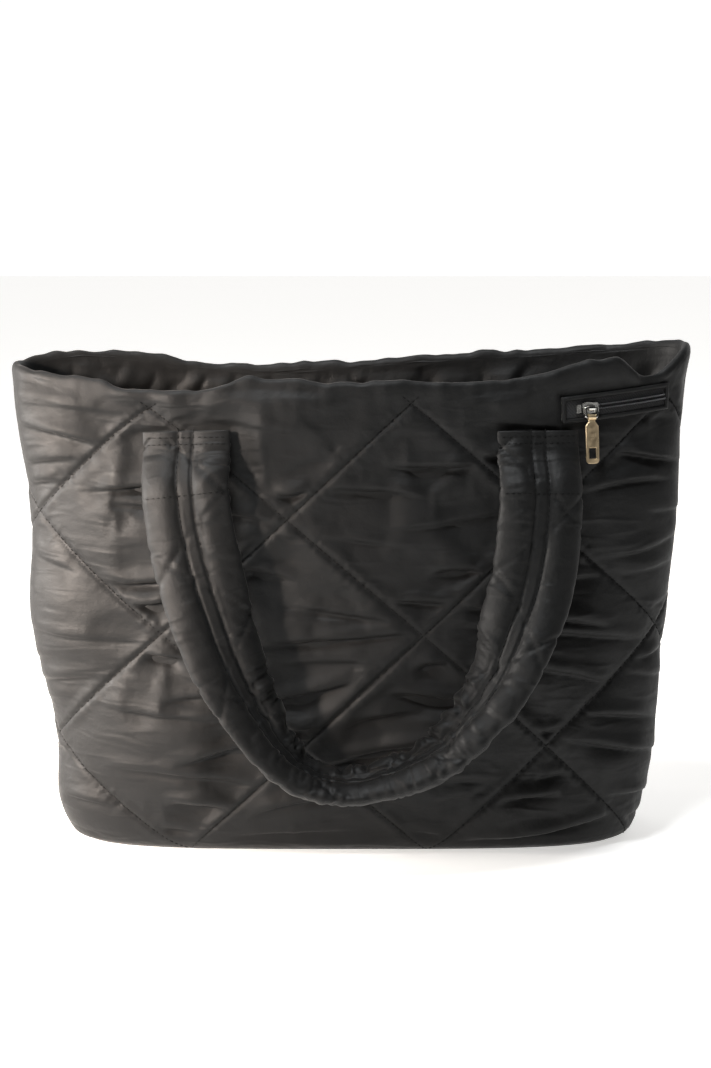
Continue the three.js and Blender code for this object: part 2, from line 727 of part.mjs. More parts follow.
// Closed tube through rings of points, with flat ends
function tubeGeometry(rings) {
  const mesh = new ClosedMesh();
  const around = rings[0].length;
  for (let i = 0; i < rings.length - 1; i += 1) {
    for (let j = 0; j < around; j += 1) {
      const k = (j + 1) % around;
      mesh.quad(rings[i][k], rings[i][j], rings[i + 1][j], rings[i + 1][k]);
    }
  }
  capRing(mesh, rings[0], true);
  capRing(mesh, rings[rings.length - 1], false);
  return mesh.geometry();
}

function capRing(mesh, ring, forwards) {
  const middle = new THREE.Vector3();
  ring.forEach((point) => middle.addScaledVector(point, 1 / ring.length));
  for (let j = 0; j < ring.length; j += 1) {
    const k = (j + 1) % ring.length;
    if (forwards) {
      mesh.triangle(ring[j], ring[k], middle);
    } else {
      mesh.triangle(ring[k], ring[j], middle);
    }
  }
}

// Place on the zip's middle line, with the way down the cloth and the way out of it
function zipFrame(along) {
  const across = (ZIP_START_ACROSS + along) / HALF_CLOTH;
  const down = zipDown(along);
  const origin = groovePoint(FRONT_RIM, across, down);
  const normal = grooveNormal(FRONT_RIM, across, down);
  const below = groovePoint(FRONT_RIM, across, down + ZIP_STEP).sub(origin);
  const downwards = below.addScaledVector(normal, -below.dot(normal)).normalize();
  return { origin, normal, downwards };
}

// Band along the zip's line, through a section of points beside the line and lifted off the groove surface
function zipBand(from, to, section) {
  const places = [from];
  for (let along = (Math.floor(from / ZIP_STEP) + 1) * ZIP_STEP; along < to; along += ZIP_STEP) {
    places.push(along);
  }
  places.push(to);
  return tubeGeometry(places.map((along) => {
    const { origin, normal, downwards } = zipFrame(along);
    return section.map(({ beside, lift }) => origin.clone()
      .addScaledVector(downwards, beside).addScaledVector(normal, lift));
  }));
}

function boxSection(halfHeight, low, high) {
  return [
    { beside: halfHeight, lift: low },
    { beside: halfHeight, lift: high },
    { beside: -halfHeight, lift: high },
    { beside: -halfHeight, lift: low },
  ];
}

// Pocket for the zip and its welt, sunk through the padding to the groove surface
function zipRecess() {
  const margin = WELT_WIDTH + TRIM_GAP;
  const section = boxSection(ZIP_WINDOW_HEIGHT / 2 + margin, 0, 2 * PUFF);
  return zipBand(-margin, ZIP_WINDOW_LENGTH + margin, section);
}

function weltGeometry() {
  const frame = zipBand(
    -WELT_WIDTH,
    ZIP_WINDOW_LENGTH + WELT_WIDTH,
    boxSection(ZIP_WINDOW_HEIGHT / 2 + WELT_WIDTH, TRIM_GAP, TRIM_GAP + WELT_THICKNESS),
  );
  const window = zipBand(0, ZIP_WINDOW_LENGTH, boxSection(ZIP_WINDOW_HEIGHT / 2, -PUFF, 2 * PUFF));
  return fromManifold(toManifold(frame).subtract(toManifold(window)));
}

function tapeGeometry() {
  const section = boxSection(ZIP_WINDOW_HEIGHT / 2 - TRIM_GAP, TRIM_GAP, TRIM_GAP + TAPE_THICKNESS);
  return zipBand(TRIM_GAP, ZIP_WINDOW_LENGTH - TRIM_GAP, section);
}

// Closed row of teeth, from the slider to the far end of the window
function coilGeometry() {
  const section = [
    { beside: COIL_WIDTH / 2, lift: TRIM_BASE },
    { beside: COIL_WIDTH / 4, lift: TRIM_BASE + COIL_THICKNESS },
    { beside: -COIL_WIDTH / 4, lift: TRIM_BASE + COIL_THICKNESS },
    { beside: -COIL_WIDTH / 2, lift: TRIM_BASE },
  ];
  const from = SLIDER_AT + SLIDER_LENGTH / 2 + SLIDER_GAP;
  return zipBand(from, ZIP_WINDOW_LENGTH - 2 * TRIM_GAP, section);
}

function stopGeometry() {
  const end = SLIDER_AT - SLIDER_LENGTH / 2 - SLIDER_GAP;
  return zipBand(end - STOP_LENGTH, end, boxSection(COIL_WIDTH / 2, TRIM_BASE, TRIM_BASE + COIL_THICKNESS));
}

// Square frames for the pull: the slider lies along the zip, its bridge, bail and tab stand plumb
function hardwareFrames() {
  const { origin, normal } = zipFrame(SLIDER_AT);
  const ahead = zipFrame(SLIDER_AT + SLIDER_LENGTH / 2).origin.sub(zipFrame(SLIDER_AT - SLIDER_LENGTH / 2).origin);
  ahead.addScaledVector(normal, -ahead.dot(normal)).normalize();
  const body = new THREE.Matrix4().makeBasis(ahead, normal.clone().cross(ahead), normal);
  body.setPosition(origin.clone().addScaledVector(normal, TRIM_BASE));
  const out = normal.clone().setZ(0).normalize();
  const up = new THREE.Vector3(0, 0, 1);
  const right = up.clone().cross(out);
  const pinLift = TRIM_BASE + SLIDER_THICKNESS + WIRE / 2 + 2 * PIN_CLEARANCE;
  const bridge = new THREE.Matrix4().makeBasis(right, up, out);
  bridge.setPosition(origin.clone().addScaledVector(normal, pinLift));
  const pull = bridge.clone().multiply(new THREE.Matrix4().makeRotationX(-PULL_LEAN));
  return { body, bridge, pull };
}

function circleHole(x, y, radius) {
  const hole = new THREE.Path();
  hole.absarc(x, y, radius, 0, Math.PI * 2, true);
  return hole;
}

function roundedOutline(path, halfWidth, low, high, corner) {
  path.moveTo(-halfWidth + corner, low);
  path.lineTo(halfWidth - corner, low);
  path.absarc(halfWidth - corner, low + corner, corner, -Math.PI / 2, 0, false);
  path.lineTo(halfWidth, high - corner);
  path.absarc(halfWidth - corner, high - corner, corner, 0, Math.PI / 2, false);
  path.lineTo(-halfWidth + corner, high);
  path.absarc(-halfWidth + corner, high - corner, corner, Math.PI / 2, Math.PI, false);
  path.lineTo(-halfWidth, low + corner);
  path.absarc(-halfWidth + corner, low + corner, corner, Math.PI, 1.5 * Math.PI, false);
  return path;
}

// Tapered body of the slider, in its own frame
function sliderBody() {
  const wide = SLIDER_WIDTH / 2;
  const narrow = SLIDER_WIDTH * SLIDER_NOSE_SHARE / 2;
  const shape = new THREE.Shape();
  shape.moveTo(-SLIDER_LENGTH / 2, -wide * SLIDER_TAIL_SHARE);
  shape.lineTo(-SLIDER_LENGTH / 4, -wide);
  shape.lineTo(SLIDER_LENGTH / 2, -narrow);
  shape.lineTo(SLIDER_LENGTH / 2, narrow);
  shape.lineTo(-SLIDER_LENGTH / 4, wide);
  shape.lineTo(-SLIDER_LENGTH / 2, wide * SLIDER_TAIL_SHARE);
  return new THREE.ExtrudeGeometry(shape, { depth: SLIDER_THICKNESS, bevelEnabled: false });
}

// Tube for a pin, as long as named, centred on its bore and lying along x
function knuckle(length) {
  const bore = WIRE / 2 + PIN_CLEARANCE;
  const shape = new THREE.Shape();
  shape.absarc(0, 0, bore + KNUCKLE_WALL, 0, Math.PI * 2, false);
  shape.holes.push(circleHole(0, 0, bore));
  const geometry = new THREE.ExtrudeGeometry(shape, { depth: length, bevelEnabled: false, curveSegments: KNUCKLE_SEGMENTS });
  geometry.translate(0, 0, -length / 2);
  geometry.rotateY(Math.PI / 2);
  return geometry;
}

function sliderGeometry(frames) {
  const body = sliderBody().applyMatrix4(frames.body);
  const bridge = knuckle(BRIDGE_LENGTH).applyMatrix4(frames.bridge);
  return fromManifold(toManifold(body).add(toManifold(bridge)));
}

// Rectangular wire loop hanging from the middle of its top bar
function bailGeometry() {
  const bevel = WIRE * BAIL_BEVEL_SHARE;
  const shape = roundedOutline(
    new THREE.Shape(),
    BAIL_WIDTH / 2 - bevel,
    WIRE / 2 - BAIL_HEIGHT + bevel,
    WIRE / 2 - bevel,
    WIRE - bevel,
  );
  const hole = roundedOutline(
    new THREE.Path(),
    BAIL_WIDTH / 2 - WIRE + bevel,
    WIRE * 1.5 - BAIL_HEIGHT - bevel,
    bevel - WIRE / 2,
    WIRE * BAIL_HOLE_CORNER_SHARE,
  );
  shape.holes.push(hole);
  const geometry = new THREE.ExtrudeGeometry(shape, {
    depth: WIRE - 2 * bevel,
    bevelThickness: bevel,
    bevelSize: bevel,
    bevelSegments: 1,
    curveSegments: WIRE_SEGMENTS,
  });
  geometry.translate(0, 0, bevel - WIRE / 2);
  return fromManifold(toManifold(geometry));
}

// Flat tab with a knuckle at its top and a window near its foot, hanging from the middle of the bail's foot
function tabGeometry() {
  const bevel = TAB_THICKNESS * TAB_BEVEL_SHARE;
  const neckTop = -(WIRE / 2 + PIN_CLEARANCE + KNUCKLE_WALL / 2);
  const neck = TAB_NECK_WIDTH / 2 - bevel;
  const half = TAB_WIDTH / 2 - bevel;
  const shoulder = neckTop - TAB_SHOULDER;
  const foot = bevel - TAB_LENGTH;
  const shape = new THREE.Shape();
  shape.moveTo(-neck, neckTop);
  shape.lineTo(-neck * TAB_WAIST_SHARE, (neckTop + shoulder) / 2);
  shape.lineTo(-half, shoulder - TAB_SHOULDER / 2);
  shape.lineTo(-half, foot + half / 2);
  shape.absarc(-half / 2, foot + half / 2, half / 2, Math.PI, 1.5 * Math.PI, false);
  shape.absarc(half / 2, foot + half / 2, half / 2, 1.5 * Math.PI, 2 * Math.PI, false);
  shape.lineTo(half, shoulder - TAB_SHOULDER / 2);
  shape.lineTo(neck * TAB_WAIST_SHARE, (neckTop + shoulder) / 2);
  shape.lineTo(neck, neckTop);
  const windowFoot = foot + half / 2 + bevel;
  shape.holes.push(roundedOutline(
    new THREE.Path(),
    TAB_WINDOW_WIDTH / 2,
    windowFoot,
    windowFoot + TAB_WINDOW_LENGTH,
    bevel,
  ));
  const plate = new THREE.ExtrudeGeometry(shape, {
    depth: TAB_THICKNESS - 2 * bevel,
    bevelThickness: bevel,
    bevelSize: bevel,
    bevelSegments: 1,
    curveSegments: TAB_SEGMENTS,
  });
  plate.translate(0, 0, bevel - TAB_THICKNESS / 2);
  const tube = knuckle(BAIL_WIDTH - 2 * WIRE - 2 * PIN_CLEARANCE);
  return fromManifold(toManifold(plate).add(toManifold(tube)));
}

// The handle is pressed to the shape of the panel behind it, a small gap off its cloth
function seatedHandle(rim, hasZip) {
  const behind = toManifold(panelGeometry(rim, { grow: SEAT_GAP, hasZip }));
  return fromManifold(toManifold(handleTube()).subtract(behind));
}

function piece(name, geometry, color, roughness, metalness) {
  const mesh = new THREE.Mesh(geometry, new THREE.MeshStandardMaterial({ color, roughness, metalness }));
  mesh.name = name;
  return mesh;
}

function clothPiece(name, geometry) {
  return piece(name, geometry, CLOTH_BLACK, 0.45, 0);
}

function buildBag() {
  const bag = new THREE.Group();
  const wall = toManifold(panelGeometry(FRONT_RIM, { hasZip: true }));
  bag.add(
    clothPiece('front_panel', fromManifold(wall.subtract(toManifold(zipRecess())))),
    clothPiece('back_panel', mirroredToBack(panelGeometry(BACK_RIM))),
    piece('lining', liningGeometry(), LINING_BLACK, 0.5, 0),
    clothPiece('front_handle', seatedHandle(FRONT_RIM, true)),
    clothPiece('rear_handle', mirroredToBack(seatedHandle(BACK_RIM, false))),
    clothPiece('zip_welt', weltGeometry()),
    piece('zip_tape', tapeGeometry(), ZIP_BLACK, 0.8, 0),
    piece('zip_coil', coilGeometry(), ZIP_BLACK, 0.4, 0),
    piece('zip_stop', stopGeometry(), METAL_SILVER, 0.3, 1),
  );
  const frames = hardwareFrames();
  bag.add(piece('zip_slider', sliderGeometry(frames), METAL_SILVER, 0.3, 1));
  const bail = piece('zip_bail', bailGeometry(), METAL_SILVER, 0.3, 1);
  bail.applyMatrix4(frames.pull);
  const tab = piece('zip_pull_tab', tabGeometry(), METAL_BRONZE, 0.32, 1);
  tab.applyMatrix4(frames.pull.clone().multiply(new THREE.Matrix4().makeTranslation(0, WIRE - BAIL_HEIGHT, 0)));
  bag.add(bail, tab);
  return bag;
}

const bag = buildBag();

export default bag;
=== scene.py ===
"""Quilted puffer tote bag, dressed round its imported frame. Metres, +Z up, the front faces -Y."""
import math

import bpy
import numpy as np
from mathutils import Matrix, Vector
from mathutils.bvhtree import BVHTree


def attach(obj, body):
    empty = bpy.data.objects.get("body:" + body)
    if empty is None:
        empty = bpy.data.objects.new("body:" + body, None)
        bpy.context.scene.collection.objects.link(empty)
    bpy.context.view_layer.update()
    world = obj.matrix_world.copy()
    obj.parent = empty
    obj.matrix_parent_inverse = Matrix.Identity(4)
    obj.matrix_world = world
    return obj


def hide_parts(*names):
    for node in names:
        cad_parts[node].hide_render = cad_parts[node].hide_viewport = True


bl_info = {
    "name": "Quilted puffer tote bag",
    "version": (1, 0, 0),
    "blender": (4, 5, 0),
    "location": "3D View > Sidebar > Tote Bag",
    "description": "Builds the cloth, padding, stitching, zip and finishes of a quilted tote bag",
    "category": "Object",
}

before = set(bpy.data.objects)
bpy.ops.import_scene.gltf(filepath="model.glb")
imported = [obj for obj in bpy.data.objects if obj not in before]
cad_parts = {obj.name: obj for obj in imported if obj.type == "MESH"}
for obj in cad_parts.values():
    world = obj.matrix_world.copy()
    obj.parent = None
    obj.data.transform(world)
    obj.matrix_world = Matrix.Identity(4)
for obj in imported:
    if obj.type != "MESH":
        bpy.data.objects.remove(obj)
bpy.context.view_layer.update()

# The shapes are worked out in millimetres, as in the part's own source, and turned to metres in each mesh
MM = 0.001
BAG_WIDTH = 462.0
BAG_HEIGHT = 330.0
BAG_DEPTH = 132.0
WALL = 4.0
BASE_WALL = 6.0
RIM_THICKNESS = 11.0
RIM_WAVE_DEPTH = 50.0
# The sewn cloth meets at the side seams, where the solids keep 0.3 mm apart
SEWN_GAP = 0.02
QUILT_ACROSS = 88.0
QUILT_DOWN = 79.0
QUILT_START_ACROSS = 40.0
QUILT_START_DOWN = 15.0
QUILT_LEAN = 0.057
SEAM_FADE = 26.0
SEAM_PUFF_SHARE = 0.35
BASE_FADE_START = 0.02
BASE_FADE_END = 0.13
ZIP_FADE_START = 9.0
ZIP_FADE_END = 46.0
PATCH_LENGTH = 40.0
PATCH_FADE = 22.0
RIM_ROLL = 3.5
RIM_FADE = 12.0
FACING_BAND = 42.0
LINING_GAP = 0.3
HANDLE_WIDTH = 57.0
HANDLE_LOFT = 15.0
HANDLE_SPREAD = 230.0
HANDLE_OFFSET = 7.0
HANDLE_DROP = 232.0
HANDLE_BELOW_RIM = 34.0
SEAT_GAP = 0.35
ZIP_WINDOW_LENGTH = 72.0
ZIP_WINDOW_HEIGHT = 12.0
ZIP_SLOPE = 0.097
ZIP_START_DOWN = 21.4
ZIP_START_ACROSS = 144.0
ZIP_DOWN_TURNS = 8
ZIP_STEP = 6.0
WELT_WIDTH = 3.0
WELT_THICKNESS = 3.4
TAPE_THICKNESS = 0.8
COIL_WIDTH = 5.4
COIL_THICKNESS = 1.8
TRIM_GAP = 0.3
TRIM_BASE = TAPE_THICKNESS + 2 * TRIM_GAP
SLIDER_LENGTH = 11.0
SLIDER_AT = 16.0
SLIDER_GAP = 0.7
PLAN_SAMPLES = 160
PROFILE_SAMPLES = 240

# Plan sections from the base up: shares of the height, width and depth, and the exponent of the rounded plan
SECTIONS = {
    "height": (0.0, 0.015, 0.048, 0.136, 0.273, 0.394, 0.518, 0.636, 0.758, 0.879, 1.0),
    "width": (0.824, 0.862, 0.885, 0.898, 0.915, 0.94, 0.961, 0.963, 0.972, 0.986, 1.0),
    "depth": (0.74, 0.87, 0.945, 0.985, 1.0, 0.985, 0.955, 0.925, 0.88, 0.836, 0.776),
    "square": (3.6, 3.4, 3.2, 3.0, 2.8, 2.7, 2.6, 2.5, 2.4, 2.35, 2.3),
}
# Waves of the mouth: rise above the named height as a share of it, from the left corner to the right one
FRONT_RIM = {
    "across": (-1.0, -0.82, -0.5, -0.32, 0.0, 0.5, 0.77, 0.87, 1.0),
    "rise": (0.026, 0.0, -0.033, 0.002, -0.005, 0.004, 0.052, -0.006, 0.076),
}
BACK_RIM = {
    "across": (-1.0, -0.82, -0.3, 0.25, 0.7, 1.0),
    "rise": (0.026, 0.042, -0.006, 0.022, 0.046, 0.076),
}
# The hanging handle's route: shares of its spread and drop, its roll in degrees, shares of its width and loft
HANDLE_ROUTE = {
    "across": (-0.505, -0.503, -0.5, -0.476, -0.43, -0.378, -0.31, -0.232, -0.13, -0.01,
               0.11, 0.225, 0.315, 0.385, 0.436, 0.48, 0.505, 0.508, 0.508),
    "down": (0.0, 0.07, 0.14, 0.31, 0.48, 0.64, 0.785, 0.91, 0.985, 1.0,
             0.968, 0.905, 0.8, 0.69, 0.555, 0.41, 0.22, 0.08, 0.0),
    "roll": (0, 0, 0, 8, 22, 38, 54, 70, 80, 84, 80, 74, 64, 50, 32, 16, 4, 0, 0),
    "width": (1.03, 1.03, 1.03, 1.02, 1.0, 0.96, 0.9, 0.86, 0.84, 0.82,
              0.82, 0.84, 0.88, 0.92, 0.96, 0.98, 0.98, 0.97, 0.96),
    "loft": (0.45, 0.7, 1.0, 1.0, 1.05, 1.05, 1.05, 1.0, 0.95, 0.95,
             1.05, 1.15, 1.1, 1.05, 1.05, 1.0, 1.0, 0.7, 0.45),
}
# Section of the handle, all round: two padded lobes either side of the centre seam of its face
HANDLE_SECTION = {
    "across": (-0.5, -0.42, -0.22, -0.03, 0.03, 0.22, 0.42, 0.5, 0.38, 0.13, -0.13, -0.38),
    "out": (0.0, 0.34, 0.5, 0.26, 0.26, 0.5, 0.34, 0.0, -0.4, -0.5, -0.5, -0.4),
}


def srgb(code):
    """Linear colour of an sRGB hex value, with full alpha."""
    shares = [int(code[i:i + 2], 16) / 255 for i in (0, 2, 4)]
    return (*(c / 12.92 if c <= 0.04045 else ((c + 0.055) / 1.055) ** 2.4 for c in shares), 1.0)


def length_setting(name, what, default, least):
    """A length that a user can set, from millimetres."""
    return bpy.props.FloatProperty(name=name, description=what, default=default * MM, min=least * MM, unit="LENGTH")


def slack_setting(name, what, default):
    return bpy.props.FloatProperty(name=name, description=what, default=default, min=0, max=0.2, subtype="FACTOR")


def colour_setting(name, what, code):
    return bpy.props.FloatVectorProperty(name=name, description="Colour of " + what, size=4, subtype="COLOR",
                                         min=0, max=1, default=srgb(code))


class ToteSizes(bpy.types.PropertyGroup):
    puff: length_setting("Puff", "How far the padding lifts the cloth between its quilting lines", 9, 0)
    slack_down: slack_setting("Slack down", "Spare cloth down the walls, as a share of their length", 0.075)
    slack_across: slack_setting("Slack across", "Spare cloth across the walls, as a share of their width", 0.015)
    stitch_pitch: length_setting("Stitch pitch", "Distance from one stitch to the next", 3.7, 1)
    stitch_length: length_setting("Stitch length", "Thread that shows in one stitch", 2.7, 0.5)
    thread_width: length_setting("Thread width", "Width of the sewing thread", 0.75, 0.1)
    coil_pitch: length_setting("Coil pitch", "Distance from one tooth of the zip's coil to the next", 1.4, 0.5)


class ToteColours(bpy.types.PropertyGroup):
    shell: colour_setting("Shell", "the quilted cloth", "101010")
    lining: colour_setting("Lining", "the lining", "191819")
    thread: colour_setting("Thread", "the sewing thread", "0b0b0b")
    zip_cloth: colour_setting("Zip tape", "the zip's tape", "222223")
    # The coil is black nylon: its grey is painted sheen, a lighter tone that stands in for the gloss light gives it
    coil: colour_setting("Coil", "the zip's coil", "464648")
    silver: colour_setting("Slider", "the slider's plating", "d2d1cd")
    bronze: colour_setting("Pull tab", "the pull tab's plating", "cdb896")
    floor: colour_setting("Floor", "the floor", "f6f5f3")


def smoothstep(value, low, high):
    share = np.clip((np.asarray(value, float) - low) / (high - low), 0, 1)
    return share * share * (3 - 2 * share)


def mix(low, high, share):
    return low + (high - low) * share


def unit(vectors):
    return vectors / np.maximum(np.linalg.norm(vectors, axis=-1, keepdims=True), 1e-9)


def smooth_column(keys, values, at):
    """Smooth curve through a table's column, read at places along its key column."""
    keys, values = np.asarray(keys, float), np.asarray(values, float)
    last = len(keys) - 1
    row = np.clip(np.searchsorted(keys, at, side="left") - 1, 0, last - 1)
    before, after = np.maximum(np.arange(last + 1) - 1, 0), np.minimum(np.arange(last + 1) + 1, last)
    slopes = (values[after] - values[before]) / (keys[after] - keys[before])
    span = keys[row + 1] - keys[row]
    s = np.clip((at - keys[row]) / span, 0, 1)
    return ((2 * s**3 - 3 * s**2 + 1) * values[row] + (s**3 - 2 * s**2 + s) * span * slopes[row]
            + (3 * s**2 - 2 * s**3) * values[row + 1] + (s**3 - s**2) * span * slopes[row + 1])


def plan_at(height, inset=0.0):
    """Quarter plan of the bag at a height: half width, and x, y and cloth length from the middle to the seam."""
    share = min(max(height / BAG_HEIGHT, 0), 1)
    half_width = BAG_WIDTH / 2 * smooth_column(SECTIONS["height"], SECTIONS["width"], share) - inset
    half_depth = BAG_DEPTH / 2 * smooth_column(SECTIONS["height"], SECTIONS["depth"], share) - inset
    power = 2 / smooth_column(SECTIONS["height"], SECTIONS["square"], share)
    angle = np.linspace(0, math.pi / 2, PLAN_SAMPLES + 1)
    x = half_width * np.sin(angle) ** power
    y = -half_depth * np.maximum(np.cos(angle), 0) ** power
    y[-1] = 0
    length = np.concatenate([[0], np.cumsum(np.hypot(np.diff(x), np.diff(y)))])
    return half_width, half_depth, power, x, y, length


def wall_profile():
    """Heights down the middle of the front, and the length of cloth below the rim at each."""
    share = 1 - np.arange(PROFILE_SAMPLES + 1) / PROFILE_SAMPLES
    out = smooth_column(SECTIONS["height"], SECTIONS["depth"], share) * BAG_DEPTH / 2
    step = np.hypot(BAG_HEIGHT / PROFILE_SAMPLES, np.diff(out))
    return share * BAG_HEIGHT, np.concatenate([[0], np.cumsum(step)])


PROFILE_HEIGHT, PROFILE_DROP = wall_profile()
WALL_DROP = PROFILE_DROP[-1]
HALF_CLOTH = plan_at(BAG_HEIGHT / 2)[5][-1]


def height_at_drop(down):
    return np.interp(down, PROFILE_DROP, PROFILE_HEIGHT)


def leaned(across, down):
    """Places across the cloth, shifted because the whole quilting leans a little to one side."""
    lean = QUILT_LEAN * (down - QUILT_START_DOWN) * (1 - across**2) / HALF_CLOTH
    return np.clip(across + lean, -1, 1)


def cloth_points(rim, across, down, inset=0.0, floor=0.0, leaning=True):
    """Points of the bag's wall at places on the cloth: across from -1 to 1, down in millimetres below the rim."""
    across, down = np.broadcast_arrays(np.asarray(across, float), np.asarray(down, float))
    made = np.empty(across.shape + (3,))
    for drop in np.unique(down):
        here = down == drop
        height = height_at_drop(drop)
        half_width, _, _, x, y, length = plan_at(height, inset)
        share = leaned(across[here], drop) if leaning else across[here]
        wanted = np.minimum(np.abs(share), 1) * length[-1]
        px = np.sign(share) * np.interp(wanted, length, x)
        fade = max(1 - (BAG_HEIGHT - height) / RIM_WAVE_DEPTH, 0) ** 2
        rise = BAG_HEIGHT * smooth_column(rim["across"], rim["rise"], px / half_width) * fade
        level = height + rise + floor * (1 - height / BAG_HEIGHT)
        made[here] = np.stack([px, np.interp(wanted, length, y), level], -1)
    return made


def cloth_normals(rim, across, down, step_across=0.006, step_down=1.5):
    across, down = np.broadcast_arrays(np.asarray(across, float), np.asarray(down, float))
    left = cloth_points(rim, np.maximum(across - step_across, -1), down)
    right = cloth_points(rim, np.minimum(across + step_across, 1), down)
    above = cloth_points(rim, across, np.maximum(down - step_down, 0))
    below = cloth_points(rim, across, np.minimum(down + step_down, WALL_DROP))
    normals = unit(np.cross(right - left, above - below))
    normals[np.abs(across) > 0.999, 1] = 0
    return unit(normals)


def zip_down(along):
    """Drop of the zip's middle line: it runs straight although the rim above it waves."""
    along = np.asarray(along, float)
    across = (ZIP_START_ACROSS + along) / HALF_CLOTH
    straight = ZIP_START_DOWN - ZIP_SLOPE * along
    down = straight
    for _ in range(ZIP_DOWN_TURNS):
        down = straight + cloth_points(FRONT_RIM, across, down)[..., 2] - height_at_drop(down)
    return down


def zip_offsets(across, down):
    """How far places lie beyond the ends of the zip's window, and beside its middle line."""
    along = across[:, 0] * HALF_CLOTH - ZIP_START_ACROSS
    near = (along > -2 * ZIP_FADE_END) & (np.abs(across[:, 0]) < 1)
    line = np.full(along.shape, ZIP_START_DOWN)
    line[near] = zip_down(along[near])
    beside = down - line[:, None]
    beyond = np.maximum(np.maximum(-along, along - ZIP_WINDOW_LENGTH), 0)[:, None]
    return np.broadcast_to(beyond, beside.shape), beside


def patch_distance(x, down):
    """Distance from the nearer sewn end of the handle."""
    middle = HANDLE_OFFSET + np.sign(x - HANDLE_OFFSET) * HANDLE_SPREAD / 2
    beside = np.maximum(np.abs(x - middle) - HANDLE_WIDTH / 2, 0)
    beyond = np.maximum(np.maximum(HANDLE_BELOW_RIM - down, down - HANDLE_BELOW_RIM - PATCH_LENGTH), 0)
    return np.hypot(beside, beyond)


def from_seam(across):
    """Length of cloth between a place and the nearer side seam."""
    return (1 - np.abs(across)) * HALF_CLOTH


def quilt_place(across, down):
    """A place on the cloth in half diamonds of the quilting."""
    return (across * HALF_CLOTH - QUILT_START_ACROSS) / QUILT_ACROSS, (down - QUILT_START_DOWN) / QUILT_DOWN


def quilt_distance(across, down):
    """Distance in millimetres from the nearest quilting line."""
    p, q = quilt_place(across, down)
    pitch = 2 * QUILT_ACROSS * QUILT_DOWN / math.hypot(QUILT_ACROSS, QUILT_DOWN)
    falling, rising = (p - q) / 2, (p + q) / 2
    nearest = np.minimum(np.abs(falling - np.round(falling)), np.abs(rising - np.round(rising)))
    return nearest * pitch


# Side of the noise's grid of random values, after which it repeats
NOISE_GRID = 64


def soft_noise(u, v, seed, octaves=2):
    """Smooth repeatable noise from -1 to 1 over a plane, in units of its own lumps."""
    total, weight = 0.0, 0.0
    for octave in range(octaves):
        rng = np.random.default_rng(seed + octave)
        grid = rng.uniform(-1, 1, (NOISE_GRID, NOISE_GRID))
        x, y = u * 2**octave, v * 2**octave
        i, j = np.floor(x).astype(int), np.floor(y).astype(int)
        s, t = smoothstep(x - i, 0, 1), smoothstep(y - j, 0, 1)
        corner = [grid[(i + a) % NOISE_GRID, (j + b) % NOISE_GRID] for a, b in ((0, 0), (1, 0), (0, 1), (1, 1))]
        layer = mix(mix(corner[0], corner[1], s), mix(corner[2], corner[3], s), t)
        total, weight = total + layer / 2**octave, weight + 1 / 2**octave
    return total / weight


def creases(across, down, seed):
    """Height of the loose folds of each padded diamond: a bulge sags over a long narrow valley below it."""
    x, z = across * HALF_CLOTH, down
    p, q = quilt_place(across, down)
    falling, rising = np.floor((p - q) / 2).astype(int), np.floor((p + q) / 2).astype(int)
    height = FOLD_SWELL * soft_noise(x / 50 + 30, z / 30, seed)
    for fall, rise in sorted(set(zip(falling.ravel().tolist(), rising.ravel().tolist()))):
        here = (falling == fall) & (rising == rise)
        rng = np.random.default_rng(seed + 37 * (fall + 20) + (rise + 20))
        middle_x = QUILT_START_ACROSS + (fall + rise + 1) * QUILT_ACROSS
        middle_z = QUILT_START_DOWN + (rise - fall) * QUILT_DOWN
        strays = rng.uniform(-FOLD_STRAY, FOLD_STRAY, FOLDS_A_DIAMOND)
        for place in np.linspace(-OUTER_FOLD, OUTER_FOLD, FOLDS_A_DIAMOND) + strays:
            turn = math.radians(rng.uniform(*FOLD_TURN))
            room = QUILT_ACROSS * (1 - abs(place))
            reach = FOLD_REACH + room * rng.uniform(*FOLD_SHARE)
            shift = rng.choice((-1, 1)) * max(room - reach, 0)
            depth, bow = FOLD_HEIGHT * rng.uniform(*FOLD_DEPTH), rng.uniform(-FOLD_BOW, FOLD_BOW)
            side, drop = x[here] - middle_x - shift, z[here] - middle_z - place * QUILT_DOWN
            u = side * math.cos(turn) + drop * math.sin(turn)
            v = drop * math.cos(turn) - side * math.sin(turn) - bow * (u / reach) ** 2
            taper = np.clip(1 - (u / reach) ** 2, 0, 1) ** 1.2
            bulge = 0.5 * np.exp(-(((v + FOLD_BULGE) / FOLD_BULGE) ** 2))
            valley = smoothstep(v, -FOLD_LIP, FOLD_LIP) * np.exp(-np.maximum(v, 0) / FOLD_VALLEY)
            height[here] += depth * taper * (bulge - valley)
    return height * smoothstep(quilt_distance(across, down), *FOLDS_FROM_LINE)


def puckers(across, down, seed):
    """Height of the short ripples that the thread draws across each quilting line."""
    x, z = across * HALF_CLOTH - QUILT_START_ACROSS, down - QUILT_START_DOWN
    diagonal = math.hypot(QUILT_ACROSS, QUILT_DOWN)
    height = np.zeros(x.shape)
    for slope in (1, -1):
        beside = (x / QUILT_ACROSS - slope * z / QUILT_DOWN) / 2
        away = np.abs(beside - np.round(beside)) * 2 * QUILT_ACROSS * QUILT_DOWN / diagonal
        travel = (x * QUILT_ACROSS + slope * z * QUILT_DOWN) / diagonal
        ripple = soft_noise(travel / PUCKER_SPACING + 40, np.round(beside) * 3.7 + away / 30 + 30, seed, 2)
        height += PUCKER_HEIGHT * ripple * np.exp(-(((away - 2) / PUCKER_REACH) ** 2))
    return height


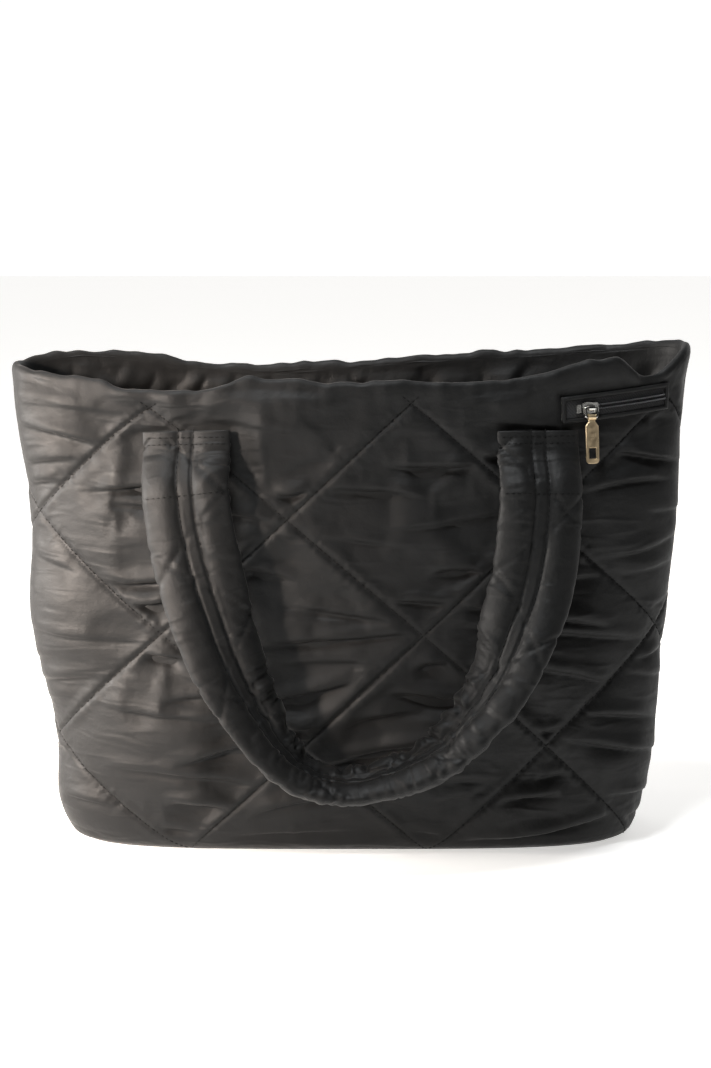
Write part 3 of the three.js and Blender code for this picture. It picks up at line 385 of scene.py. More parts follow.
def cell_steps(first, last, start, pitch, cells, margin=0.35):
    """Places from first to last on the lines of the quilting's cells, so that a vertex lies on every crossing."""
    step = pitch / cells
    steps = np.arange(math.ceil((first - start) / step + margin), math.floor((last - start) / step - margin) + 1)
    return np.concatenate([[first], start + steps * step, [last]])


# How steeply a padded diamond rises from its lines, and the share of its puff that is left beside the zip
PILLOW_POWER = 0.8
ZIP_PUFF_SHARE = 0.15


def panel_lift(points, across, down, puff, has_zip):
    """How far the padding lifts the cloth, as in the part's own source but without its folds."""
    p, q = quilt_place(across, down)
    pillow = np.abs(np.sin((p - q) * math.pi / 2) * np.sin((p + q) * math.pi / 2)) ** PILLOW_POWER
    lift = puff * pillow
    lift *= mix(SEAM_PUFF_SHARE, 1, smoothstep(from_seam(across), 0, SEAM_FADE))
    lift *= smoothstep(patch_distance(points[..., 0], down), -PATCH_FADE / 4, PATCH_FADE)
    if has_zip:
        beyond, beside = zip_offsets(across, down)
        lift *= mix(ZIP_PUFF_SHARE, 1, smoothstep(np.hypot(beyond, beside), ZIP_FADE_START, ZIP_FADE_END))
    lift = mix(RIM_ROLL, lift, smoothstep(down, RIM_THICKNESS / 2, RIM_THICKNESS / 2 + RIM_FADE))
    return lift * smoothstep(points[..., 2] / BAG_HEIGHT, BASE_FADE_START, BASE_FADE_END)


def grid_faces(rows, columns):
    """Quads of a grid whose vertices are counted row by row."""
    start = (np.arange(rows - 1)[:, None] * columns + np.arange(columns - 1)).ravel()
    return np.stack([start, start + columns, start + columns + 1, start + 1], -1)


def tube_corners(stations, around):
    """First corner of each quad of a tube counted ring by ring, and the corner beside it round the ring."""
    ring = np.arange(stations - 1)[:, None] * around
    return (ring + np.arange(around)).ravel(), (ring + (np.arange(around) + 1) % around).ravel()


# The settling cloth: frames, pressure of the padding, and how stiff the cloth is
SETTLE_FRAMES = 22
PADDING_PRESSURE = 1.8
CLOTH_TENSION = 25.0
CLOTH_PHYSICS = {
    "quality": 7, "mass": 0.15, "air_damping": 2.0, "tension_stiffness": CLOTH_TENSION,
    "compression_stiffness": CLOTH_TENSION, "shear_stiffness": CLOTH_TENSION / 3, "bending_stiffness": 0.4,
    "vertex_group_mass": "held", "use_pressure": True, "uniform_pressure_force": PADDING_PRESSURE,
}


def settle(start, faces, flat, held):
    """Lets padded cloth settle: start and flat are its sewn and cut shapes in metres, held the pins from 0 to 1."""
    scene = bpy.context.scene
    mesh = bpy.data.meshes.new("settling")
    mesh.from_pydata(start.tolist(), [], faces.tolist())
    cloth = bpy.data.objects.new("settling", mesh)
    scene.collection.objects.link(cloth)
    cloth.shape_key_add(name="Basis")
    cut = cloth.shape_key_add(name="cut")
    cut.data.foreach_set("co", np.asarray(flat, np.float32).ravel())
    pins = cloth.vertex_groups.new(name="held")
    for weight in np.unique(held[held > 0]):
        pins.add(np.nonzero(held == weight)[0].tolist(), float(weight), "REPLACE")
    modifier = cloth.modifiers.new("Cloth", "CLOTH")
    for name, value in CLOTH_PHYSICS.items():
        setattr(modifier.settings, name, value)
    modifier.settings.rest_shape_key = cut
    modifier.settings.effector_weights.gravity = 0
    modifier.collision_settings.use_collision = False
    modifier.point_cache.frame_start = 1
    modifier.point_cache.frame_end = SETTLE_FRAMES
    for step in range(1, SETTLE_FRAMES + 1):
        scene.frame_set(step)
    settled = cloth.evaluated_get(bpy.context.evaluated_depsgraph_get()).data
    places = np.empty(len(start) * 3, np.float32)
    settled.vertices.foreach_get("co", places)
    bpy.data.objects.remove(cloth)
    bpy.data.meshes.remove(mesh)
    scene.frame_set(1)
    return places.reshape(-1, 3).astype(float)


def resample(grid, old_rows, new_rows, old_columns, new_columns):
    """Smoothly reads a grid of points at other rows and columns."""
    down = np.stack([[smooth_column(old_rows, grid[:, j, k], new_rows) for k in range(3)]
                     for j in range(grid.shape[1])], 0).transpose(2, 0, 1)
    return np.stack([[smooth_column(old_columns, down[i, :, k], new_columns) for k in range(3)]
                     for i in range(down.shape[0])], 0).transpose(0, 2, 1)


def make_piece(name, points, faces, material, uv=None, smooth=True):
    """A mesh object from points in millimetres, with a UV map in tenths of a metre where given per vertex."""
    mesh = bpy.data.meshes.new(name)
    mesh.from_pydata((np.asarray(points, float) * MM).tolist(), [], [list(map(int, f)) for f in faces])
    if smooth:
        mesh.polygons.foreach_set("use_smooth", [True] * len(mesh.polygons))
    if uv is not None:
        layer = mesh.uv_layers.new(name="cloth")
        corner = np.empty(len(mesh.loops), np.int32)
        mesh.loops.foreach_get("vertex_index", corner)
        layer.data.foreach_set("uv", (np.asarray(uv, float)[corner] / 100).astype(np.float32).ravel())
    mesh.materials.append(material)
    mesh.validate()
    piece = bpy.data.objects.new(name, mesh)
    bpy.context.scene.collection.objects.link(piece)
    return piece


def add_node(tree, kind, settings=None, inputs=None):
    """Adds a node with its settings, and sets or links its inputs by name or number."""
    node = tree.nodes.new(kind)
    for name, value in (settings or {}).items():
        setattr(node, name, value)
    for name, value in (inputs or {}).items():
        if isinstance(value, bpy.types.NodeSocket):
            tree.links.new(value, node.inputs[name])
        else:
            node.inputs[name].default_value = value
    return node


def new_material(name):
    """An empty node material and its tree."""
    material = bpy.data.materials.new(name)
    material.use_nodes = True
    material.node_tree.nodes.clear()
    return material, material.node_tree


def toned(tone, share):
    """A colour made darker or lighter by a share."""
    return (*(min(c * share, 1) for c in tone[:3]), 1.0)


def satin_shell(tone):
    """Calendered nylon satin over wadding: dark body, broad warm gloss along its folds, fine crinkles."""
    material, tree = new_material("nylon_satin_shell")
    cloth = add_node(tree, "ShaderNodeUVMap", {"uv_map": "cloth"}).outputs["UV"]
    # Crinkles lie across the bag, about 35 mm long and 8 mm apart: the map is in tenths of a metre
    stretched = add_node(tree, "ShaderNodeMapping", inputs={"Vector": cloth, "Scale": (2.8, 12.0, 1.0)})
    crinkle = add_node(tree, "ShaderNodeTexNoise", {"noise_type": "RIDGED_MULTIFRACTAL"}, {
        "Vector": stretched.outputs["Vector"], "Scale": 1.0, "Detail": 1.5, "Roughness": 0.4, "Distortion": 0.6})
    # Small dents of the wadding under the cloth, about 11 mm apart
    dents = add_node(tree, "ShaderNodeTexNoise", inputs={
        "Vector": cloth, "Scale": 9.0, "Detail": 4.0, "Roughness": 0.6})
    # A satin's threads are 0.15 mm apart, too fine to show, so the weave is drawn at 1 mm
    weave = add_node(tree, "ShaderNodeTexNoise", inputs={"Vector": cloth, "Scale": 100.0, "Detail": 1.0})
    shade = add_node(tree, "ShaderNodeMix", {"data_type": "RGBA"}, {
        0: dents.outputs["Fac"], 6: toned(tone, 0.78), 7: toned(tone, 1.25)})
    rough = add_node(tree, "ShaderNodeMapRange", inputs={
        "Value": dents.outputs["Fac"], "From Min": 0.3, "From Max": 0.7, "To Min": 0.5, "To Max": 0.64})
    fine = add_node(tree, "ShaderNodeBump", inputs={
        "Strength": 0.12, "Distance": 0.0002, "Height": weave.outputs["Fac"]})
    small = add_node(tree, "ShaderNodeBump", inputs={
        "Strength": 0.55, "Distance": 0.0011, "Height": dents.outputs["Fac"], "Normal": fine.outputs["Normal"]})
    creased = add_node(tree, "ShaderNodeBump", inputs={
        "Strength": 0.6, "Distance": 0.0015, "Height": crinkle.outputs["Fac"], "Normal": small.outputs["Normal"]})
    shader = add_node(tree, "ShaderNodeBsdfPrincipled", inputs={
        "Base Color": shade.outputs[2], "Roughness": rough.outputs["Result"], "IOR": 1.5,
        "Specular IOR Level": 0.22, "Sheen Weight": 0.06, "Sheen Roughness": 0.4,
        "Sheen Tint": (0.95, 0.9, 0.85, 1.0), "Normal": creased.outputs["Normal"]})
    add_node(tree, "ShaderNodeOutputMaterial", inputs={"Surface": shader.outputs["BSDF"]})
    return material


def lining_satin(tone):
    """Thin polyester lining satin: a soft dull sheen and loose small creases."""
    material, tree = new_material("polyester_lining_satin")
    place = add_node(tree, "ShaderNodeTexCoord").outputs["Object"]
    # Loose creases about 14 mm apart, and threads drawn at 1.2 mm because 0.2 mm doesn't show
    crease = add_node(tree, "ShaderNodeTexNoise", inputs={"Vector": place, "Scale": 70.0, "Detail": 3.0})
    thread = add_node(tree, "ShaderNodeTexNoise", inputs={"Vector": place, "Scale": 830.0, "Detail": 1.0})
    shade = add_node(tree, "ShaderNodeMix", {"data_type": "RGBA"}, {
        0: crease.outputs["Fac"], 6: toned(tone, 0.7), 7: tuple(tone)})
    fine = add_node(tree, "ShaderNodeBump", inputs={
        "Strength": 0.15, "Distance": 0.0002, "Height": thread.outputs["Fac"]})
    loose = add_node(tree, "ShaderNodeBump", inputs={
        "Strength": 0.5, "Distance": 0.002, "Height": crease.outputs["Fac"], "Normal": fine.outputs["Normal"]})
    shader = add_node(tree, "ShaderNodeBsdfPrincipled", inputs={
        "Base Color": shade.outputs[2], "Roughness": 0.5, "Specular IOR Level": 0.35,
        "Normal": loose.outputs["Normal"]})
    add_node(tree, "ShaderNodeOutputMaterial", inputs={"Surface": shader.outputs["BSDF"]})
    return material


def spun_thread(tone, name, roughness=0.7, gloss=0.15, twist=1400.0):
    """Twisted polyester thread or moulded nylon coil: dark, with a soft gloss broken by its fine twist; the coil's
    lighter grey tone is painted sheen.
    """
    material, tree = new_material(name)
    place = add_node(tree, "ShaderNodeTexCoord").outputs["Object"]
    strands = add_node(tree, "ShaderNodeTexNoise", inputs={"Vector": place, "Scale": twist, "Detail": 1.0})
    shade = add_node(tree, "ShaderNodeMix", {"data_type": "RGBA"}, {
        0: strands.outputs["Fac"], 6: toned(tone, 0.6), 7: toned(tone, 1.4)})
    bump = add_node(tree, "ShaderNodeBump", inputs={
        "Strength": 0.3, "Distance": 0.0002, "Height": strands.outputs["Fac"]})
    shader = add_node(tree, "ShaderNodeBsdfPrincipled", inputs={
        "Base Color": shade.outputs[2], "Roughness": roughness, "Specular IOR Level": gloss,
        "Normal": bump.outputs["Normal"]})
    add_node(tree, "ShaderNodeOutputMaterial", inputs={"Surface": shader.outputs["BSDF"]})
    return material


def woven_tape(tone):
    """Zip tape in polyester twill: matt, with fine slanting ribs."""
    material, tree = new_material("polyester_twill_tape")
    place = add_node(tree, "ShaderNodeTexCoord").outputs["Object"]
    # Ribs drawn 1.7 mm apart, because the real ones at 0.4 mm don't show
    ribs = add_node(tree, "ShaderNodeTexWave", {"wave_type": "BANDS", "bands_direction": "DIAGONAL"},
                    {"Vector": place, "Scale": 260.0, "Distortion": 0.6})
    shade = add_node(tree, "ShaderNodeMix", {"data_type": "RGBA"}, {
        0: ribs.outputs["Fac"], 6: toned(tone, 0.6), 7: toned(tone, 1.5)})
    bump = add_node(tree, "ShaderNodeBump", inputs={
        "Strength": 0.5, "Distance": 0.0003, "Height": ribs.outputs["Fac"]})
    shader = add_node(tree, "ShaderNodeBsdfPrincipled", inputs={
        "Base Color": shade.outputs[2], "Roughness": 0.85, "Specular IOR Level": 0.3,
        "Normal": bump.outputs["Normal"]})
    add_node(tree, "ShaderNodeOutputMaterial", inputs={"Surface": shader.outputs["BSDF"]})
    return material


def plated_metal(tone, name, roughness):
    """Die-cast zinc, barrel polished and plated: a clear gloss with faint tumbling marks and handling haze."""
    material, tree = new_material(name)
    place = add_node(tree, "ShaderNodeTexCoord").outputs["Object"]
    # Handling haze in patches of about 4 mm, tumbling marks of about 0.5 mm
    haze = add_node(tree, "ShaderNodeTexNoise", inputs={"Vector": place, "Scale": 250.0, "Detail": 3.0})
    marks = add_node(tree, "ShaderNodeTexNoise", inputs={"Vector": place, "Scale": 2000.0, "Detail": 2.0})
    shade = add_node(tree, "ShaderNodeMix", {"data_type": "RGBA"}, {
        0: haze.outputs["Fac"], 6: toned(tone, 0.82), 7: tuple(tone)})
    rough = add_node(tree, "ShaderNodeMapRange", inputs={
        "Value": haze.outputs["Fac"], "From Min": 0.3, "From Max": 0.7,
        "To Min": roughness * 0.75, "To Max": roughness * 1.35})
    bump = add_node(tree, "ShaderNodeBump", inputs={
        "Strength": 0.08, "Distance": 0.0001, "Height": marks.outputs["Fac"]})
    shader = add_node(tree, "ShaderNodeBsdfPrincipled", inputs={
        "Base Color": shade.outputs[2], "Metallic": 1.0, "Roughness": rough.outputs["Result"],
        "Normal": bump.outputs["Normal"]})
    add_node(tree, "ShaderNodeOutputMaterial", inputs={"Surface": shader.outputs["BSDF"]})
    return material


def matt_paper(tone):
    """Pale seamless paper: an even matt white with a faint mottle, lit through from below to the horizon."""
    material, tree = new_material("seamless_paper")
    place = add_node(tree, "ShaderNodeTexCoord").outputs["Object"]
    mottle = add_node(tree, "ShaderNodeTexNoise", inputs={"Vector": place, "Scale": 3.0, "Detail": 2.0})
    shade = add_node(tree, "ShaderNodeMix", {"data_type": "RGBA"}, {
        0: mottle.outputs["Fac"], 6: toned(tone, 0.985), 7: tuple(tone)})
    shader = add_node(tree, "ShaderNodeBsdfPrincipled", inputs={
        "Base Color": shade.outputs[2], "Roughness": 0.9, "Specular IOR Level": 0.1,
        "Emission Color": tuple(tone), "Emission Strength": 0.6})
    add_node(tree, "ShaderNodeOutputMaterial", inputs={"Surface": shader.outputs["BSDF"]})
    return material


def finish_of(key):
    """The material of that key, made once from the chosen colours."""
    colours = bpy.context.scene.tote_colours
    makers = {
        "nylon_satin_shell": lambda: satin_shell(tuple(colours.shell)),
        "polyester_lining_satin": lambda: lining_satin(tuple(colours.lining)),
        "polyester_thread": lambda: spun_thread(tuple(colours.thread), "polyester_thread"),
        # The coil's grey tone is painted sheen over black nylon; its strong gloss setting is real
        "nylon_zip_coil_painted_sheen": lambda: spun_thread(tuple(colours.coil), "nylon_zip_coil_painted_sheen", 0.3, 0.8, 500.0),
        "polyester_twill_tape": lambda: woven_tape(tuple(colours.zip_cloth)),
        "nickel_plated_zinc": lambda: plated_metal(tuple(colours.silver), "nickel_plated_zinc", 0.16),
        "bronze_plated_zinc": lambda: plated_metal(tuple(colours.bronze), "bronze_plated_zinc", 0.38),
        "seamless_paper": lambda: matt_paper(tuple(colours.floor)),
    }
    return bpy.data.materials.get(key) or makers[key]()


# Loose folds of each diamond: how many, how deep and how wide their valleys in millimetres, their turn in degrees,
# and the height of the broad swell between them
FOLDS_A_DIAMOND = 7
FOLD_HEIGHT = 7.6
FOLD_VALLEY = 6.5
FOLD_TURN = (-15.0, 11.0)
FOLD_SWELL = 2.2
# Where the outermost folds lie and how far each strays from its place, as shares of a diamond's half height
OUTER_FOLD = 0.78
FOLD_STRAY = 0.09
# Half the length of a fold: the least in millimetres, and the further share of the room that the diamond leaves
FOLD_REACH = 7
FOLD_SHARE = (0.3, 0.9)
# Least and most depth of a fold as shares of the fold height, and how far it bows, in millimetres
FOLD_DEPTH = (0.15, 1.0)
FOLD_BOW = 5
# The bulge above a valley and the half width of the lip between them, in millimetres
FOLD_BULGE = 4.5
FOLD_LIP = 1.3
# Distances over which the folds grow: from a quilting line, from a side seam and from the rim, in millimetres
FOLDS_FROM_LINE = (0.5, 9.0)
FOLDS_FROM_SEAM = (4, 50)
FOLDS_FROM_RIM = (14, 40)
# How far a fold hangs down, as a share of its height
FOLD_SAG = 0.5
# How far the thread sinks into the padding, and how high the hem waves, in millimetres
THREAD_SINK = 1.5
HEM_WAVE = 2.0
# Ripples that the thread draws along the quilting lines, in millimetres
PUCKER_SPACING = 3.0
PUCKER_REACH = 5.0
PUCKER_HEIGHT = 0.6
# Cells per half pitch of the quilting: while the cloth settles, and in the finished skin
SETTLE_CELLS = 20
SKIN_CELLS = 52
# The share of the padding's lift that the cloth settles from, and how far from a quilting line and from the welt
# it is pinned, in millimetres
START_LIFT = 0.8
PINNED_AT_LINE = 0.3
PINNED_AT_WELT = 2.5
# How deep the cloth is pressed under the zip, and over what distance it rises beside the welt, in millimetres
ZIP_SINK = 0.5
ZIP_RISE = 3.0
# How far settling may move the cloth in, out and along itself, in millimetres
MOST_IN = 1.5
MOST_OUT = 11.0
MOST_ALONG = 5.0
# Depth of the loose folds in the facing inside the mouth, and how much the rim's roll swells and thins
FACING_FOLDS = 6.5
RIM_GATHER = 0.55
# Points in the rim's roll and in the base's half width, between the points that they join
ROLL_POINTS = 7
BASE_POINTS = 6
# The finished skins, for the straps that lie on them and the thread that runs over them
panel_skins = {}


def zip_bed(lift, across, down):
    """Presses the cloth under the zip and its welt down to the groove surface, with the welt's cloth round it."""
    beyond, beside = zip_offsets(across, down)
    margin = WELT_WIDTH + TRIM_GAP
    outside = np.maximum(beyond - margin, np.abs(beside) - ZIP_WINDOW_HEIGHT / 2 - margin)
    return mix(np.minimum(lift, -ZIP_SINK), lift, smoothstep(outside, 0.0, ZIP_RISE)), outside


def settled_skin(rim, has_zip, puff):
    """Outer skin of a panel as a grid of points, rows down and columns across, with its cloth places."""
    sizes = bpy.context.scene.tote_sizes
    grids = {}
    for cells in (SETTLE_CELLS, SKIN_CELLS):
        columns = cell_steps(-HALF_CLOTH, HALF_CLOTH, QUILT_START_ACROSS, QUILT_ACROSS, cells) / HALF_CLOTH
        rows = cell_steps(RIM_THICKNESS / 2, WALL_DROP, QUILT_START_DOWN, QUILT_DOWN, cells)
        grids[cells] = (columns, rows)
    columns, rows = grids[SETTLE_CELLS]
    across, down = np.broadcast_arrays(columns[:, None], rows[None, :])
    base = cloth_points(rim, across, down)
    normal = cloth_normals(rim, across, down)
    lift = panel_lift(base, across, down, puff, has_zip)
    if has_zip:
        lift, outside = zip_bed(lift, across, down)
    start = base + normal * (lift * START_LIFT)[..., None]
    step = QUILT_DOWN / SETTLE_CELLS
    held = np.where(quilt_distance(across, down) < PINNED_AT_LINE, 1.0, 0.0)
    held[[0, -1], :] = 1.0
    held[:, rows < RIM_THICKNESS / 2 + 2 * step] = 1.0
    held[base[..., 2] < BAG_HEIGHT * BASE_FADE_START] = 1.0
    if has_zip:
        held[outside < PINNED_AT_WELT] = 1.0
    widths = np.array([plan_at(height_at_drop(drop))[5][-1] for drop in rows])
    flat = np.stack([leaned(across, down) * widths[None, :] * (1 + sizes.slack_across), np.zeros_like(down),
                     -down * (1 + sizes.slack_down)], -1)
    size = start.shape
    faces = grid_faces(size[0], size[1])
    moved = settle(start.reshape(-1, 3) * MM, faces, flat.reshape(-1, 3) * MM, held.ravel())
    moved = moved.reshape(size) / MM - base
    out = np.maximum((moved * normal).sum(-1), -MOST_IN)
    over = np.maximum(out - MOST_OUT / 2, 0)
    out = out - over + MOST_OUT / 2 * (1 - np.exp(-over / (MOST_OUT / 2)))
    along = moved - (moved * normal).sum(-1, keepdims=True) * normal
    reach = np.linalg.norm(along, axis=-1, keepdims=True)
    along *= np.minimum(1, MOST_ALONG / np.maximum(reach, 1e-6))
    start = base + normal * out[..., None] + along
    fine_columns, fine_rows = grids[SKIN_CELLS]
    across, down = np.broadcast_arrays(fine_columns[:, None], fine_rows[None, :])
    base = cloth_points(rim, across, down)
    normal = cloth_normals(rim, across, down)
    skin = resample(start - cloth_points(rim, columns[:, None], rows[None, :]),
                    columns, fine_columns, rows, fine_rows) + base
    return skin, base, normal, across, down


def two_edge_cap(strip, points, faces_left):
    """Triangles that close the flat end of a strip, climbing its outer and inner edges together."""
    outer, inner, made = 0, len(strip) - 1, []
    while inner - outer > 1:
        climb = points[strip[outer + 1]][2] <= points[strip[inner - 1]][2]
        following = strip[outer + 1] if climb else strip[inner - 1]
        corner = [strip[outer], following, strip[inner]]
        made.append(corner if faces_left else corner[::-1])
        outer, inner = (outer + 1, inner) if climb else (outer, inner - 1)
    return made


def worn_skin(rim, has_zip, puff, seed):
    """A panel's outer skin with its sunk thread, puckers and folds, and the places of its columns and rows."""
    skin, base, normal, across, down = settled_skin(rim, has_zip, puff)
    fade = smoothstep(down, RIM_THICKNESS / 2, RIM_THICKNESS / 2 + RIM_FADE)
    # The thread sinks into the padding, and the cloth puckers either side of it
    sink = THREAD_SINK * np.exp(-(quilt_distance(across, down) ** 2)) * fade
    away = smoothstep(base[..., 2] / BAG_HEIGHT, 0.01, 0.06)
    worn = creases(across, down, seed) * smoothstep(from_seam(across), *FOLDS_FROM_SEAM)
    worn = worn * smoothstep(down, *FOLDS_FROM_RIM) + puckers(across, down, seed + 40)
    hem = HEM_WAVE * soft_noise(across * HALF_CLOTH / 15, down / 45, seed + 5) * (1 - smoothstep(down, 8, 34))
    relief = (worn - sink) * fade + hem
    if has_zip:
        away = away * smoothstep(zip_bed(np.zeros_like(down), across, down)[1], 0.0, 4.0)
    skin = skin + normal * (relief * away)[..., None]
    # The loose cloth sags, so that each fold overhangs the valley below it
    skin[..., 2] -= FOLD_SAG * np.maximum(relief, 0) * away * fade
    skin[..., 2] = np.maximum(skin[..., 2], 0.0)
    panel_skins["front" if has_zip else "back"] = (skin, across[:, 0], down[0])
    return skin, across[:, 0], down[0]


def inner_face(rim, columns, downs, seed):
    """The wall's inside: loose folds in the facing at its top, and plain below it, where the lining hides it."""
    inner = cloth_points(rim, columns[:, None], downs[None, :], WALL, BASE_WALL, leaning=False)
    inward = -cloth_normals(rim, columns[:, None], downs[None, :])
    shown = smoothstep(downs, RIM_THICKNESS / 2, 18) * (1 - smoothstep(downs, FACING_BAND - 3, FACING_BAND + 2))
    quilt = quilt_distance(columns[:, None], downs[None, :])
    slant = columns[:, None] * HALF_CLOTH + 0.7 * downs[None, :]
    loose = np.abs(soft_noise(slant / 21, downs[None, :] / 34 - slant / 90, seed, 2)) ** 0.6
    swell = 0.4 + 2.4 * smoothstep(quilt, 0, 20) + FACING_FOLDS * (loose - 0.3)
    swell = swell * shown[None, :] * smoothstep(from_seam(columns), 1, 12)[:, None]
    return inner + inward * swell[..., None]


def rim_roll(outer, inner, columns, seed):
    """The rolled rim from the top of the outer skin to the top of the inner one, gathered along its length."""
    middle, reach = (outer + inner) / 2, (outer - inner) / 2
    turns = np.radians(np.linspace(0, 180, ROLL_POINTS + 2)[1:-1])
    gather = 1 + RIM_GATHER * soft_noise(columns * HALF_CLOTH / 17, columns * 3, seed)
    gather = mix(1, gather, smoothstep(from_seam(columns), 0, 12))[:, None, None]
    return (middle[:, None] + reach[:, None] * np.cos(turns)[None, :, None]
            + np.array([0, 0, RIM_THICKNESS / 2]) * gather * np.sin(turns)[None, :, None])


def panel_points(rim, has_zip, puff, seed):
    """Points and faces of a panel as one closed band of cloth, with its cloth places for the finish."""
    skin, columns, rows = worn_skin(rim, has_zip, puff, seed)
    downs = np.concatenate([np.arange(RIM_THICKNESS / 2, FACING_BAND + 3, 2.5),
                            np.linspace(FACING_BAND + 6, WALL_DROP, 26)])
    inner = inner_face(rim, columns, downs, seed + 80)
    roll = rim_roll(skin[:, 0], inner[:, 0], columns, seed + 9)
    level = np.zeros(len(columns))
    seam_outer = np.stack([skin[:, -1, 0], level, level], -1)
    seam_inner = np.stack([inner[:, -1, 0], level, level + BASE_WALL], -1)
    base_share = np.linspace(0, 1, BASE_POINTS + 2)[1:-1]
    base_strip = mix(seam_outer[:, None], skin[:, -1][:, None], base_share[None, :, None])
    strips = np.concatenate([seam_outer[:, None], base_strip, skin[:, ::-1], roll, inner, seam_inner[:, None]], 1)
    strips[..., 1] -= SEWN_GAP / 2
    around = strips.shape[1]
    # Lengths of cloth round the band for the finish: base, skin upwards, roll, inside downwards and its base
    band = np.concatenate([[WALL_DROP + 70], WALL_DROP + 60 * (1 - base_share), rows[::-1],
                           -np.arange(1, ROLL_POINTS + 1) * 1.6 + 5.5, 6 - downs, [6 - WALL_DROP - 60]])
    uv = np.stack(np.broadcast_arrays(columns[:, None] * HALF_CLOTH, band[None, :]), -1)
    points = strips.reshape(-1, 3)
    start, after = tube_corners(len(columns), around)
    faces = np.stack([start, start + around, after + around, after], -1).tolist()
    for first, faces_left in ((0, True), (len(points) - around, False)):
        faces += two_edge_cap(list(range(first, first + around)), points, faces_left)
    return points, faces, uv.reshape(-1, 2)


class TOTE_OT_panels(bpy.types.Operator):
    """Builds the two quilted panels, lets their cloth settle over the padding, and sinks their quilting"""

    bl_idname = "tote.panels"
    bl_label = "Quilted panels"

    def execute(self, context):
        puff = context.scene.tote_sizes.puff / MM
        shell = finish_of("nylon_satin_shell")
        for name, rim, has_zip, seed in (("front_panel", FRONT_RIM, True, 11), ("back_panel", BACK_RIM, False, 23)):
            points, faces, uv = panel_points(rim, has_zip, puff, seed)
            if not has_zip:
                points = points * (1, -1, 1)
                faces = [face[::-1] for face in faces]
            piece = make_piece(name + "_cloth", points, faces, shell, uv)
            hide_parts(name)
            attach(piece, "bag")
        return {"FINISHED"}


# Loose folds of the lining, standing in from the wall: place across, how far in, half width and the way they lean
LINING_FOLDS = {
    "across": (-0.86, -0.70, -0.52, -0.30, 0.05, 0.42, 0.75),
    "depth": (9.0, 12.0, 9.0, 5.0, 4.0, 5.0, 6.0),
    "width": (0.05, 0.07, 0.08, 0.12, 0.14, 0.12, 0.08),
    "lean": (0.10, 0.22, 0.26, 0.10, -0.06, 0.05, -0.12),
}


# Points round half of the sack, down its shown part and down the rest; where the parts and the folds end, how
# deep its soft waves are, and its thickness, in millimetres
LINING_COLUMNS = 181
LINING_ROWS = 30
LINING_SHOWN = (120, 126)
LINING_FOLDS_END = (250, 320)
LINING_WAVES = 2.5
LINING_CLOTH = 0.6


class TOTE_OT_lining(bpy.types.Operator):
    """Hangs the thin lining sack inside the walls, with its loose folds"""

    bl_idname = "tote.lining"
    bl_label = "Lining"

    def execute(self, context):
        columns = np.linspace(-1, 1, LINING_COLUMNS)
        downs = np.concatenate([np.linspace(FACING_BAND - 3, LINING_SHOWN[0], LINING_ROWS),
                                np.linspace(LINING_SHOWN[1], WALL_DROP, LINING_ROWS)])
        inset, floor = WALL + LINING_GAP, BASE_WALL + LINING_GAP
        skins = []
        for rim, side in ((FRONT_RIM, -1), (BACK_RIM, 1)):
            skin = cloth_points(rim, columns[:, None], downs[None, :], inset + 0.5, floor + 0.5, leaning=False)
            inward = -cloth_normals(rim, columns[:, None], downs[None, :])
            depth = np.zeros(skin.shape[:2])
            below = smoothstep(downs, FACING_BAND, FACING_BAND + 45) * (1 - smoothstep(downs, *LINING_FOLDS_END))
            for place, deep, wide, lean in zip(*LINING_FOLDS.values()):
                line = place + lean * (downs[None, :] - FACING_BAND) / 200
                depth += deep * np.exp(-(((columns[:, None] - line) / wide) ** 2))
            depth += LINING_WAVES * (1 + soft_noise(columns[:, None] * 6 + side, downs[None, :] / 45, 61 + side))
            depth *= smoothstep(from_seam(columns), 0, 30)[:, None]
            skin = skin + inward * (depth * below[None, :])[..., None]
            skin[..., 1] *= -side
            skins.append(skin)
        front, back = skins
        rows = front.shape[1]
        ring = np.concatenate([front[:-1], back[::-1][:-1]], 0)
        ring[0, :, 1] = 0
        ring[len(columns) - 1, :, 1] = 0
        count = ring.shape[0]
        start = (np.arange(count)[:, None] * rows + np.arange(rows - 1)).ravel()
        after = (((np.arange(count) + 1) % count)[:, None] * rows + np.arange(rows - 1)).ravel()
        faces = np.stack([start, start + 1, after + 1, after], -1).tolist()
        points = ring.reshape(-1, 3)
        # The base of the sack: one face from front to back under each column
        for i in range(len(columns) - 1):
            left, right = i * rows + rows - 1, (i + 1) * rows + rows - 1
            back_left = ((count - i) % count) * rows + rows - 1
            back_right = (count - i - 1) * rows + rows - 1
            corners = [left, back_left, back_right, right]
            kept = [c for k, c in enumerate(corners) if c not in corners[:k]]
            if len(kept) > 2:
                faces.append(kept)
        piece = make_piece("lining_sack", points, faces, finish_of("polyester_lining_satin"))
        solid = piece.modifiers.new("Cloth thickness", "SOLIDIFY")
        solid.thickness = LINING_CLOTH * MM
        solid.offset = -1.0
        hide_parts("lining")
        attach(piece, "bag")
        return {"FINISHED"}


# Stations along the handle and points round its section in the finished skin
HANDLE_STATIONS = 330
SECTION_POINTS = 84
strap_skins = {}
# Rows of stitches on a strap: beside its centre seam as shares of its width, and across it from its sewn end, in mm
TOPSTITCH_ACROSS = (-0.085, 0.085)
END_STITCH_FROM = (4.5, 9.0, 44.0)
# The flat band of the strap's centre seam and the dents of its stitches, as shares of the loft and of the width
SEAM_BAND = 0.36
STITCH_DENT = 0.1
STITCH_DENT_REACH = 0.018
# Place of the centre seam in the section's table, and how strongly and widely points are drawn towards it
SEAM_KEY = 3.5
SEAM_PULL = 0.55
SEAM_PULL_REACH = 2.2
# Depth of a strap's gathers on its legs, and what its bend and its two kinks add, in millimetres
GATHER_DEPTH = 1.3
BEND_DEPTH = 3.0
KINK_DEPTH = 1.8
